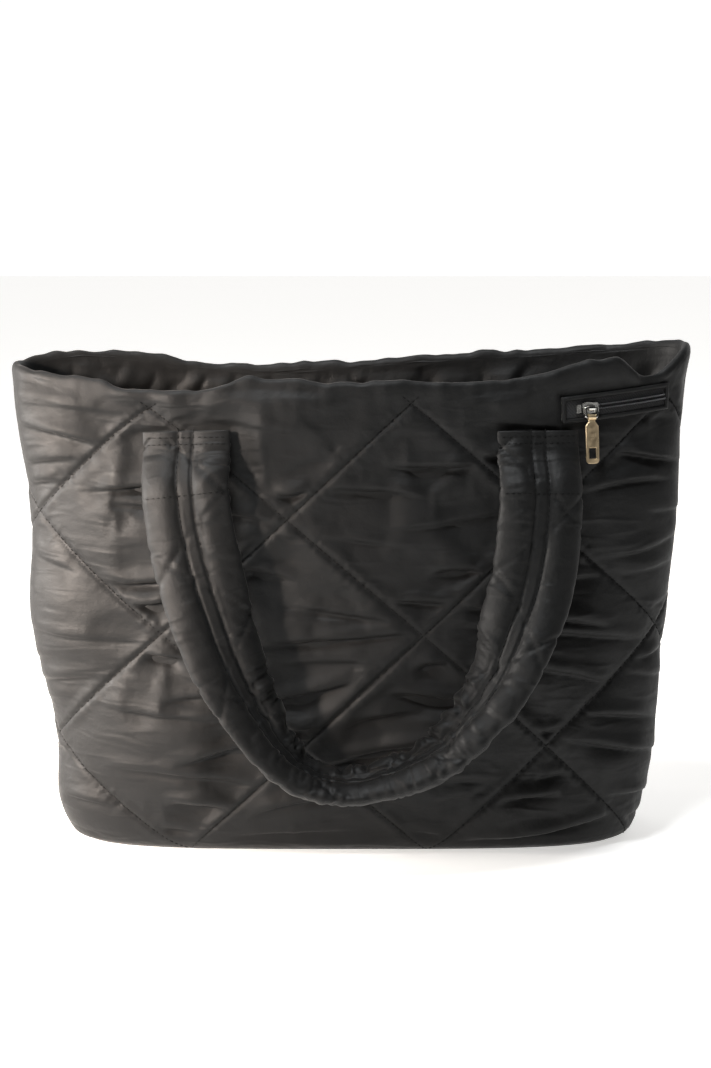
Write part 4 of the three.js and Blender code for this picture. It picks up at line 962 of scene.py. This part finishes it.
# Middle and reach of the bend and of each kink, as shares of the strap's length
BEND_AT = (0.5, 0.2)
KINKS_AT = ((0.36, 0.04), (0.68, 0.05))
# How far the gathers drift along the strap, and over what length, in millimetres
GATHER_DRIFT = (14, 40)
# Lengths of the broad and the narrow gathers along the strap, in millimetres
GATHER_LENGTHS = (17, 5.5)
# Length of a sewn end, over which the gathers grow, in millimetres
STRAP_END = 12
# Depth and reach of the dents of the strap's own quilting, in millimetres
QUILT_DENT = 1.3
QUILT_DENT_REACH = 1.5
# The strap's back keeps this far off the skin, and is moved more outwards than along the skin's own facing
STRAP_CLEARANCE = 0.6
OUTWARDS = Vector((0, -2, 0))


def front_at(x, height):
    """Point of the front wall at a given x and height, and the way it faces."""
    half_width, half_depth, power, _, _, _ = plan_at(height)
    square = 2 / power
    share = min(abs(x) / half_width, 0.98)
    deep = (1 - share**square) ** (1 / square)
    facing = np.array([math.copysign(share ** (square - 1), x) / half_width, -(deep ** (square - 1)) / half_depth, 0])
    return np.array([x, -deep * half_depth, height]), unit(facing)


def handle_frames(stations):
    """Centre, side, face, width and loft at each station of the front handle."""
    steps = np.linspace(0, 1, stations)
    key = np.linspace(0, 1, len(HANDLE_ROUTE["down"]))
    column = {name: smooth_column(key, values, steps) for name, values in HANDLE_ROUTE.items()}
    top = BAG_HEIGHT - HANDLE_BELOW_RIM
    width, loft = HANDLE_WIDTH * column["width"], HANDLE_LOFT * column["loft"]
    roll = np.radians(column["roll"])
    puff = bpy.context.scene.tote_sizes.puff / MM
    ride = puff * smoothstep(column["down"] * HANDLE_DROP, PATCH_LENGTH / 4, PATCH_LENGTH)
    out = SEAT_GAP + ride + loft / 2 * np.cos(roll) + width / 2 * np.sin(roll)
    places = [front_at(HANDLE_OFFSET + a * HANDLE_SPREAD, top - d * HANDLE_DROP)
              for a, d in zip(column["across"], column["down"])]
    facing = np.array([f for _, f in places])
    centre = np.array([p for p, _ in places]) + facing * out[:, None]
    ahead = unit(np.gradient(centre, axis=0))
    face = unit(facing - (facing * ahead).sum(-1, keepdims=True) * ahead)
    side = np.cross(face, ahead)
    turn = -roll[:, None]
    turned_face = face * np.cos(turn) + np.cross(ahead, face) * np.sin(turn)
    turned_side = side * np.cos(turn) + np.cross(ahead, side) * np.sin(turn)
    return centre, turned_side, turned_face, width, loft


def handle_outline():
    """The handle's section as places round it, closer together at the seam of its face."""
    count = len(HANDLE_SECTION["out"])
    key = np.arange(-2, count + 3)
    wrap = key % count
    around = np.linspace(0, count, SECTION_POINTS, endpoint=False)
    beyond = around - SEAM_KEY
    around = around - SEAM_PULL * np.sin(beyond * 2 * math.pi / count) * np.exp(-(beyond / SEAM_PULL_REACH) ** 2)
    across = smooth_column(key, np.array(HANDLE_SECTION["across"])[wrap], around)
    out = smooth_column(key, np.array(HANDLE_SECTION["out"])[wrap], around)
    beside = np.abs(across)
    banded = mix(SEAM_BAND, out, smoothstep(beside, TOPSTITCH_ACROSS[1] - 0.02, TOPSTITCH_ACROSS[1] + 0.06))
    row = STITCH_DENT * np.exp(-(((beside - TOPSTITCH_ACROSS[1]) / STITCH_DENT_REACH) ** 2))
    return across, np.where(out > 0, banded - row, out)


def gathered(ring, across, out, travel, seed):
    """A strap's skin with creases across it, deepest where its bend leaves spare cloth on the inner edge."""
    share = travel / travel[-1]
    bend = np.exp(-(((share - BEND_AT[0]) / BEND_AT[1]) ** 4))
    kink = sum(np.exp(-(((share - at) / reach) ** 2)) for at, reach in KINKS_AT)
    drift, over = GATHER_DRIFT
    long = travel[:, None] + drift * soft_noise(travel[:, None] / over, across[None, :] * 2 + 3, seed + 2)
    broad_length, narrow_length = GATHER_LENGTHS
    broad = np.abs(soft_noise(long / broad_length, across[None, :] * 1.3 + out[None, :] + 8, seed, 1)) ** 0.7
    narrow = np.abs(soft_noise(long / narrow_length, across[None, :] * 2.2 + out[None, :] + 20, seed + 1, 1)) ** 0.7
    inner = mix(0.35, 1.0, smoothstep(across, -0.2, 0.3))[None, :]
    depth = (GATHER_DEPTH + BEND_DEPTH * bend + KINK_DEPTH * kink)[:, None] * inner
    fold = (broad - 0.45) * depth + (narrow - 0.4) * 0.9 * depth
    quilt = np.zeros_like(fold)
    for slope in (1, -1):
        line = (travel[:, None] + slope * across[None, :] * HANDLE_WIDTH) / QUILT_ACROSS + 0.2 * slope
        away = np.abs(line - np.round(line)) * QUILT_ACROSS / math.sqrt(2)
        quilt += QUILT_DENT * np.exp(-((away / QUILT_DENT_REACH) ** 2))
    seam = 1 - 0.7 * np.exp(-((across / 0.06) ** 2)) * (out > 0)
    ends = smoothstep(np.minimum(travel, travel[-1] - travel), 0, STRAP_END)[:, None]
    normal = unit(np.cross(np.gradient(ring, axis=1), np.gradient(ring, axis=0)))
    outward = ring - ring.mean(1, keepdims=True)
    normal *= np.sign((normal * outward).sum(-1, keepdims=True))
    return ring + normal * ((fold - quilt) * seam[None, :] * ends)[..., None]


def kept_clear(points, skin):
    """A strap's skin with its back moved off the panel's cloth where the puffs would press into it."""
    tree = BVHTree.FromPolygons(skin.reshape(-1, 3).tolist(), grid_faces(skin.shape[0], skin.shape[1]).tolist())
    cleared = points.reshape(-1, 3).copy()
    for i, point in enumerate(cleared):
        place, normal, _, _ = tree.find_nearest(Vector(point))
        if normal.y > 0:
            normal = -normal
        gap = (Vector(point) - place).dot(normal)
        if gap < STRAP_CLEARANCE:
            cleared[i] = Vector(point) + (normal + OUTWARDS).normalized() * (STRAP_CLEARANCE - gap)
    return cleared.reshape(points.shape)


class TOTE_OT_handles(bpy.types.Operator):
    """Builds the two padded handles, with the gathers of their bend, lying against the panels"""

    bl_idname = "tote.handles"
    bl_label = "Handles"

    def execute(self, context):
        centre, side, face, width, loft = handle_frames(HANDLE_STATIONS)
        across, out = handle_outline()
        travel = np.concatenate([[0], np.cumsum(np.linalg.norm(np.diff(centre, axis=0), axis=-1))])
        ring = (centre[:, None] + side[:, None] * (across[None, :] * width[:, None])[..., None]
                + face[:, None] * (out[None, :] * loft[:, None])[..., None])
        for name, sign, seed in (("front_handle", 1, 5), ("rear_handle", -1, 9)):
            points = gathered(ring, across, out, travel, seed)
            points = kept_clear(points, panel_skins["front" if sign > 0 else "back"][0])
            count = len(across)
            strap_skins[name] = points * (1, sign, 1)
            flat = points.reshape(-1, 3)
            start, after = tube_corners(HANDLE_STATIONS, count)
            faces = np.stack([after, start, start + count, after + count], -1).tolist()
            faces.append(list(range(count)))
            faces.append(list(range(len(flat) - count, len(flat)))[::-1])
            girth = np.concatenate([[0], np.cumsum(np.hypot(np.diff(across * HANDLE_WIDTH),
                                                            np.diff(out * HANDLE_LOFT)))])
            uv = np.stack(np.broadcast_arrays(girth[None, :], travel[:, None]), -1).reshape(-1, 2)
            if sign < 0:
                flat = flat * (1, -1, 1)
                faces = [corners[::-1] for corners in faces]
            piece = make_piece(name + "_strap", flat, faces, finish_of("nylon_satin_shell"), uv)
            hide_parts(name)
            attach(piece, "bag")
        return {"FINISHED"}

def zip_section_points(along, beside, lift):
    """Points beside the zip's middle line and above the groove surface, for arrays of the same shape."""
    along, beside, lift = np.broadcast_arrays(*(np.asarray(v, float) for v in (along, beside, lift)))
    places = np.unique(along)
    across, down = (ZIP_START_ACROSS + places) / HALF_CLOTH, zip_down(places)
    origin = cloth_points(FRONT_RIM, across, down)
    normal = cloth_normals(FRONT_RIM, across, down)
    below = cloth_points(FRONT_RIM, across, down + ZIP_STEP) - origin
    downwards = unit(below - (below * normal).sum(-1, keepdims=True) * normal)
    at = np.searchsorted(places, along)
    return origin[at] + downwards[at] * beside[..., None] + normal[at] * lift[..., None]


# The welt's points along a long and a short side of the window, and round its lip
WELT_STATIONS = (48, 9)
LIP_POINTS = 9
# Height of the lip at its edges and what its crown adds, as shares of the welt's thickness
LIP_EDGE = 0.3
LIP_CROWN = 0.4
# The tape's groove under the coil: places beside its middle and the height of the floor, in millimetres
GROOVE_TOP = 2.8
GROOVE_FLOOR = 0.9
GROOVE_HEIGHT = 0.55
TAPE_STATIONS = 60


class TOTE_OT_zip_cloth(bpy.types.Operator):
    """Builds the padded welt round the zip's window and the tape behind its coil"""

    bl_idname = "tote.zip_cloth"
    bl_label = "Zip welt and tape"

    def execute(self, context):
        self.welt()
        self.tape()
        return {"FINISHED"}

    def welt(self):
        half = ZIP_WINDOW_HEIGHT / 2
        # The welt's own middle line runs round the window; its section is a soft lip with a flat back
        corners = [(0, -half), (ZIP_WINDOW_LENGTH, -half), (ZIP_WINDOW_LENGTH, half), (0, half)]
        path, outward = [], []
        for k, (a, b) in enumerate(corners):
            c, d = corners[(k + 1) % 4]
            count = WELT_STATIONS[k % 2]
            edge = unit(np.array([d - b, -(c - a)]))
            for share in np.linspace(0, 1, count, endpoint=False):
                path.append((mix(a, c, share), mix(b, d, share)))
                if share == 0:
                    before = corners[k - 1]
                    last = unit(np.array([b - before[1], -(a - before[0])]))
                    outward.append(edge + last)
                else:
                    outward.append(edge)
        path, outward = np.array(path), np.array(outward)
        turns = np.radians(np.linspace(0, 180, LIP_POINTS))
        reach = WELT_WIDTH / 2 * (1 - np.cos(turns))
        lip = TRIM_GAP + WELT_THICKNESS * (LIP_EDGE + LIP_CROWN * np.sin(turns))
        reach = np.concatenate([[0], reach, [WELT_WIDTH]])
        lip = np.concatenate([[TRIM_GAP], lip, [TRIM_GAP]])
        along = path[:, 0][:, None] + outward[:, 0][:, None] * reach
        beside = path[:, 1][:, None] + outward[:, 1][:, None] * reach
        along = np.round(along, 3)
        points = zip_section_points(along, beside, np.broadcast_to(lip, along.shape))
        loops, around = len(path), len(reach)
        i, j = np.arange(loops)[:, None], np.arange(around)[None, :]
        ahead, beyond = (i + 1) % loops, (j + 1) % around
        faces = np.stack([i * around + j, i * around + beyond, ahead * around + beyond, ahead * around + j],
                         -1).reshape(-1, 4)
        uv = np.stack(np.broadcast_arrays(along + ZIP_START_ACROSS, beside + lip), -1).reshape(-1, 2)
        welt = make_piece("zip_welt_cloth", points.reshape(-1, 3), faces.tolist(), finish_of("nylon_satin_shell"), uv)
        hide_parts("zip_welt")
        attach(welt, "bag")

    def tape(self):
        along = np.round(np.linspace(TRIM_GAP, ZIP_WINDOW_LENGTH - TRIM_GAP, TAPE_STATIONS), 3)
        edge = ZIP_WINDOW_HEIGHT / 2 - TRIM_GAP
        half = [(edge, 0), (edge, TAPE_THICKNESS), (GROOVE_TOP, TAPE_THICKNESS), (GROOVE_FLOOR, GROOVE_HEIGHT)]
        section = np.array(half + [(-beside, height) for beside, height in half[::-1]])
        points = zip_section_points(along[:, None], section[:, 0], TRIM_GAP + section[:, 1])
        count = len(section)
        start, after = tube_corners(len(along), count)
        faces = np.stack([after, start, start + count, after + count], -1).tolist()
        faces += [list(range(count)), list(range(len(along) * count - count, len(along) * count))[::-1]]
        tape = make_piece("zip_tape_cloth", points.reshape(-1, 3), faces, finish_of("polyester_twill_tape"),
                          smooth=False)
        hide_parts("zip_tape")
        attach(tape, "bag")


def bars_along_paths(name, material):
    """Geometry Nodes tree: a rounded bar at every pitch along the paths, lying along or across them."""
    tree = bpy.data.node_groups.new(name, "GeometryNodeTree")
    face = tree.interface
    face.new_socket("Paths", in_out="INPUT", socket_type="NodeSocketGeometry")
    for label, value in (("Pitch", 0.003), ("Bar length", 0.0022), ("Bar width", 0.0004), ("Turn", 0.0)):
        socket = face.new_socket(label, in_out="INPUT", socket_type="NodeSocketFloat")
        socket.default_value = value
    face.new_socket("Bars", in_out="OUTPUT", socket_type="NodeSocketGeometry")
    given = add_node(tree, "NodeGroupInput")
    curve = add_node(tree, "GeometryNodeMeshToCurve", inputs={"Mesh": given.outputs["Paths"]})
    spaced = add_node(tree, "GeometryNodeResampleCurve", {"mode": "LENGTH"},
                      {"Curve": curve.outputs["Curve"], "Length": given.outputs["Pitch"]})
    tangent = add_node(tree, "GeometryNodeInputTangent")
    aligned = add_node(tree, "FunctionNodeAlignRotationToVector", {"axis": "Z"},
                       {"Vector": tangent.outputs["Tangent"]})
    turn = add_node(tree, "ShaderNodeCombineXYZ", inputs={"X": given.outputs["Turn"]})
    turned = add_node(tree, "FunctionNodeRotateRotation", {"rotation_space": "LOCAL"},
                      {"Rotation": aligned.outputs["Rotation"], "Rotate By": turn.outputs["Vector"]})
    radius = add_node(tree, "ShaderNodeMath", {"operation": "MULTIPLY"}, {0: given.outputs["Bar width"], 1: 0.5})
    bar = add_node(tree, "GeometryNodeMeshUVSphere", inputs={
        "Segments": 6, "Rings": 5, "Radius": radius.outputs[0]})
    stretch = add_node(tree, "ShaderNodeMath", {"operation": "DIVIDE"},
                       {0: given.outputs["Bar length"], 1: given.outputs["Bar width"]})
    scale = add_node(tree, "ShaderNodeCombineXYZ", inputs={"X": 1.0, "Y": 1.0, "Z": stretch.outputs[0]})
    placed = add_node(tree, "GeometryNodeInstanceOnPoints", inputs={
        "Points": spaced.outputs["Curve"], "Instance": bar.outputs["Mesh"],
        "Rotation": turned.outputs["Rotation"], "Scale": scale.outputs["Vector"]})
    real = add_node(tree, "GeometryNodeRealizeInstances", inputs={"Geometry": placed.outputs["Instances"]})
    smooth = add_node(tree, "GeometryNodeSetShadeSmooth", inputs={"Geometry": real.outputs["Geometry"]})
    finish = add_node(tree, "GeometryNodeSetMaterial", inputs={
        "Geometry": smooth.outputs["Geometry"], "Material": material})
    add_node(tree, "NodeGroupOutput", inputs={"Bars": finish.outputs["Geometry"]})
    return tree


def bars_piece(name, paths, material, pitch, length, width, turn=0.0):
    """Runs the tree on paths of points in millimetres and keeps the result as a plain mesh piece."""
    points, edges = [], []
    for path in paths:
        first = len(points)
        points += (np.asarray(path, float) * MM).tolist()
        edges += [(first + i, first + i + 1) for i in range(len(path) - 1)]
    mesh = bpy.data.meshes.new(name + "_paths")
    mesh.from_pydata(points, edges, [])
    source = bpy.data.objects.new(name + "_paths", mesh)
    bpy.context.scene.collection.objects.link(source)
    tree = bars_along_paths(name + "_tree", material)
    modifier = source.modifiers.new("Bars", "NODES")
    modifier.node_group = tree
    names = {item.name: item.identifier for item in tree.interface.items_tree if item.in_out == "INPUT"}
    for label, value in (("Pitch", pitch), ("Bar length", length), ("Bar width", width), ("Turn", turn)):
        modifier[names[label]] = value
    evaluated = source.evaluated_get(bpy.context.evaluated_depsgraph_get())
    made = bpy.data.meshes.new_from_object(evaluated)
    made.name = name
    piece = bpy.data.objects.new(name, made)
    bpy.context.scene.collection.objects.link(piece)
    source.modifiers.remove(modifier)
    bpy.data.objects.remove(source)
    return piece


# Thread over the finished skins: its lift, the step between the points of a line, and how far a line keeps from
# the side seam, from the base and from the zip's welt, in millimetres
THREAD_LIFT = 0.15
LINE_STEP = 2.0
LINE_FROM_SEAM = 1.5
LINE_FROM_BASE = 4
LINE_FROM_WELT = 1.5
# Lines each way from the middle one, more than the panel holds
QUILT_LINES = 12
# The same lift on the straps, and the share of the face that the rows across it reach
STRAP_THREAD_LIFT = 0.25
ROW_REACH = 0.44


def read_skin(side, across, down, lift):
    """Points on a panel's finished skin, lifted off it, at places on the cloth."""
    skin, columns, rows = panel_skins[side]
    i = np.clip(np.searchsorted(columns, across) - 1, 0, len(columns) - 2)
    j = np.clip(np.searchsorted(rows, down) - 1, 0, len(rows) - 2)
    s = np.clip((across - columns[i]) / (columns[i + 1] - columns[i]), 0, 1)[:, None]
    t = np.clip((down - rows[j]) / (rows[j + 1] - rows[j]), 0, 1)[:, None]
    place = mix(mix(skin[i, j], skin[i + 1, j], s), mix(skin[i, j + 1], skin[i + 1, j + 1], s), t)
    normal = unit(np.cross(skin[i + 1, j] - skin[i, j], skin[i, j] - skin[i, j + 1]))
    made = place + normal * lift
    made[:, 1] -= SEWN_GAP / 2
    return made


def quilting_paths(side):
    """Every quilting line of a panel, on its finished skin."""
    most = HALF_CLOTH - LINE_FROM_SEAM
    paths = []
    for slope in (1, -1):
        for line in range(-QUILT_LINES, QUILT_LINES + 1):
            # Along a line, p minus slope times q is twice a whole number
            q = np.arange((RIM_THICKNESS - QUILT_START_DOWN) / QUILT_DOWN,
                          (WALL_DROP - LINE_FROM_BASE - QUILT_START_DOWN) / QUILT_DOWN, LINE_STEP / QUILT_DOWN)
            p = 2 * line + slope * q
            across = p * QUILT_ACROSS + QUILT_START_ACROSS
            down = q * QUILT_DOWN + QUILT_START_DOWN
            keep = np.abs(across) < most
            if side == "front" and keep.any():
                beyond, beside = zip_offsets(across[:, None] / HALF_CLOTH, down[:, None])
                margin = WELT_WIDTH + LINE_FROM_WELT
                keep &= ~((beyond[:, 0] < margin) & (np.abs(beside[:, 0]) < ZIP_WINDOW_HEIGHT / 2 + margin))
            run = np.nonzero(keep)[0]
            for part in np.split(run, np.nonzero(np.diff(run) > 1)[0] + 1):
                if len(part) > 3:
                    paths.append(read_skin(side, across[part] / HALF_CLOTH, down[part], THREAD_LIFT))
    return paths


def strap_paths(points):
    """Rows of stitches on a strap's face: along its centre seam, and across it at its sewn ends."""
    across, out = handle_outline()
    face = np.nonzero(out > 0)[0]
    face = face[np.argsort(across[face])]
    travel = np.concatenate([[0], np.cumsum(np.linalg.norm(np.diff(points.mean(1), axis=0), axis=-1))])
    raised = points + unit(points - points.mean(1, keepdims=True)) * STRAP_THREAD_LIFT
    paths = []
    for place in TOPSTITCH_ACROSS:
        row = face[np.argmin(np.abs(across[face] - place))]
        paths.append(raised[:, row])
    kept = face[np.abs(across[face]) < ROW_REACH]
    for place in END_STITCH_FROM:
        for station in (np.searchsorted(travel, place), np.searchsorted(travel, travel[-1] - place)):
            paths.append(raised[station, kept])
    return paths


class TOTE_OT_stitches(bpy.types.Operator):
    """Sews the quilting lines of both panels and the seams of both handles with single stitches"""

    bl_idname = "tote.stitches"
    bl_label = "Stitches"

    def execute(self, context):
        sizes = context.scene.tote_sizes
        thread = finish_of("polyester_thread")
        lines = {"front_quilting": quilting_paths("front"),
                 "back_quilting": [path * (1, -1, 1) for path in quilting_paths("back")],
                 **{name: strap_paths(points) for name, points in strap_skins.items()}}
        for name, paths in lines.items():
            piece = bars_piece(f"{name}_stitches", paths, thread, sizes.stitch_pitch, sizes.stitch_length,
                               sizes.thread_width)
            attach(piece, "bag")
        return {"FINISHED"}


# The coil's ends stay this far inside its run; its teeth as shares of the coil's width and thickness, and their width
COIL_MARGIN = 0.6
TOOTH_LENGTH = 0.56
TOOTH_HEIGHT = 0.45
TOOTH_WIDTH = 1.1 * MM


class TOTE_OT_zip_coil(bpy.types.Operator):
    """Sets the closed teeth of the zip's coil along its middle line"""

    bl_idname = "tote.zip_coil"
    bl_label = "Zip coil"

    def execute(self, context):
        sizes = context.scene.tote_sizes
        first = SLIDER_AT + SLIDER_LENGTH / 2 + SLIDER_GAP
        along = np.linspace(first + COIL_MARGIN, ZIP_WINDOW_LENGTH - 2 * TRIM_GAP - COIL_MARGIN, TAPE_STATIONS)
        paths = []
        for side in (-1, 1):
            shift = side * sizes.coil_pitch / MM / 4
            paths.append(zip_section_points(np.round(along + shift, 3), side * COIL_WIDTH / 4,
                                            TRIM_BASE + COIL_THICKNESS * TOOTH_HEIGHT))
        piece = bars_piece("zip_coil_teeth", paths, finish_of("nylon_zip_coil_painted_sheen"), sizes.coil_pitch,
                           COIL_WIDTH * TOOTH_LENGTH * MM, TOOTH_WIDTH, math.radians(90))
        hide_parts("zip_coil")
        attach(piece, "bag")
        return {"FINISHED"}


class TOTE_OT_metal(bpy.types.Operator):
    """Gives the zip's stop, slider, bail and pull tab their plating"""

    bl_idname = "tote.metal"
    bl_label = "Zip metal"

    def execute(self, context):
        plating = {"zip_stop": "nickel_plated_zinc", "zip_slider": "nickel_plated_zinc",
                   "zip_bail": "nickel_plated_zinc", "zip_pull_tab": "bronze_plated_zinc"}
        for name, key in plating.items():
            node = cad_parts[name]
            node.data.materials.clear()
            node.data.materials.append(finish_of(key))
        return {"FINISHED"}


CAMERA_DISTANCE = 1.3
CAMERA_RISE = math.radians(11.7)
CAMERA_AIM = Vector((0.003, 0.0, 0.215))
# One pixel of the photograph is this many metres at the aim; the photograph is 1068 pixels high
METRES_A_PIXEL = 0.000702
PHOTO_HEIGHT = 1068
SENSOR = 36.0
# The warm window light that falls on the bag's left end: place, aim, power, colour, spread and radius
WINDOW = ((-1.15, -1.05, 0.62), (-0.34, 0, 0.20), 580, (1.0, 0.87, 0.77))
WINDOW_SPREAD = math.radians(25)
WINDOW_RADIUS = 0.12
# Round studio lights: name, place, aim, power, colour and size
STUDIO_LIGHTS = (
    ("rim", (-1.6, -0.15, 0.45), (-0.2, 0, 0.2), 50, (1.0, 0.95, 0.90), 0.5),
    ("top", (-0.3, -0.55, 1.7), (0, 0, 0.1), 25, (0.95, 0.98, 1.0), 0.45),
)
FLOOR_HALF = 6.0


class TOTE_OT_stage(bpy.types.Operator):
    """Sets the floor, the studio lights and the camera"""

    bl_idname = "tote.stage"
    bl_label = "Stage"

    def execute(self, context):
        scene = context.scene
        floor = bpy.data.meshes.new("floor")
        floor.from_pydata([(x * FLOOR_HALF, y * FLOOR_HALF, 0) for x, y in ((-1, -1), (1, -1), (1, 1), (-1, 1))], [],
                          [(0, 1, 2, 3)])
        floor.materials.append(finish_of("seamless_paper"))
        ground = bpy.data.objects.new("floor", floor)
        scene.collection.objects.link(ground)
        self.camera(scene)
        window = self.lamp("SPOT", "window", *WINDOW)
        window.spot_size, window.spot_blend, window.shadow_soft_size = WINDOW_SPREAD, 1.0, WINDOW_RADIUS
        for *light, size in STUDIO_LIGHTS:
            disc = self.lamp("AREA", *light)
            disc.shape, disc.size = "DISK", size
        self.sky(scene)
        scene.view_settings.view_transform = "Standard"
        return {"FINISHED"}

    def camera(self, scene):
        data = bpy.data.cameras.new("camera")
        data.sensor_width = SENSOR
        data.lens = SENSOR * CAMERA_DISTANCE / METRES_A_PIXEL / PHOTO_HEIGHT
        eye = bpy.data.objects.new("camera", data)
        back = Vector((0, -math.cos(CAMERA_RISE), math.sin(CAMERA_RISE)))
        eye.location = CAMERA_AIM + back * CAMERA_DISTANCE
        eye.rotation_euler = (-back).to_track_quat("-Z", "Y").to_euler()
        scene.collection.objects.link(eye)
        scene.camera = eye

    def lamp(self, kind, name, place, aim, power, tone):
        """A light of a kind at its place, turned to what it lights."""
        data = bpy.data.lights.new(name, kind)
        data.energy = power
        data.color = tone
        lamp = bpy.data.objects.new(name, data)
        lamp.location = place
        lamp.rotation_euler = (Vector(aim) - Vector(place)).to_track_quat("-Z", "Y").to_euler()
        bpy.context.scene.collection.objects.link(lamp)
        return data

    def sky(self, scene):
        """A white room: bright behind the bag, and dimmer in front of it so that the black cloth stays deep."""
        world = bpy.data.worlds.new("room")
        world.use_nodes = True
        tree = world.node_tree
        tree.nodes.clear()
        way = add_node(tree, "ShaderNodeTexCoord").outputs["Generated"]
        parts = add_node(tree, "ShaderNodeSeparateXYZ", inputs={"Vector": way})
        level = add_node(tree, "ShaderNodeMapRange", {"interpolation_type": "SMOOTHSTEP"}, {
            "Value": parts.outputs["Y"], "From Min": -0.1, "From Max": 0.45, "To Min": 0.01, "To Max": 1.05})
        glow = add_node(tree, "ShaderNodeBackground", inputs={
            "Color": (1.0, 1.0, 1.0, 1.0), "Strength": level.outputs["Result"]})
        add_node(tree, "ShaderNodeOutputWorld", inputs={"Surface": glow.outputs["Background"]})
        scene.world = world


class TOTE_PT_panel(bpy.types.Panel):
    bl_label = "Quilted tote bag"
    bl_idname = "TOTE_PT_panel"
    bl_space_type = "VIEW_3D"
    bl_region_type = "UI"
    bl_category = "Tote Bag"

    def draw(self, context):
        for group in (context.scene.tote_sizes, context.scene.tote_colours):
            for name in group.__annotations__:
                self.layout.prop(group, name)
        for operator in OPERATORS:
            self.layout.operator(operator.bl_idname)


OPERATORS = (TOTE_OT_stage, TOTE_OT_panels, TOTE_OT_lining, TOTE_OT_handles, TOTE_OT_zip_cloth, TOTE_OT_zip_coil,
             TOTE_OT_metal, TOTE_OT_stitches)
CLASSES = (ToteSizes, ToteColours, *OPERATORS, TOTE_PT_panel)


def register():
    for each in CLASSES:
        bpy.utils.register_class(each)
    bpy.types.Scene.tote_sizes = bpy.props.PointerProperty(type=ToteSizes)
    bpy.types.Scene.tote_colours = bpy.props.PointerProperty(type=ToteColours)


def unregister():
    del bpy.types.Scene.tote_colours
    del bpy.types.Scene.tote_sizes
    for each in reversed(CLASSES):
        bpy.utils.unregister_class(each)


def main():
    register()
    bpy.ops.tote.stage()
    bpy.ops.tote.panels()
    bpy.ops.tote.lining()
    bpy.ops.tote.handles()
    bpy.ops.tote.zip_cloth()
    bpy.ops.tote.zip_coil()
    bpy.ops.tote.metal()
    bpy.ops.tote.stitches()


if __name__ == "__main__":
    main()
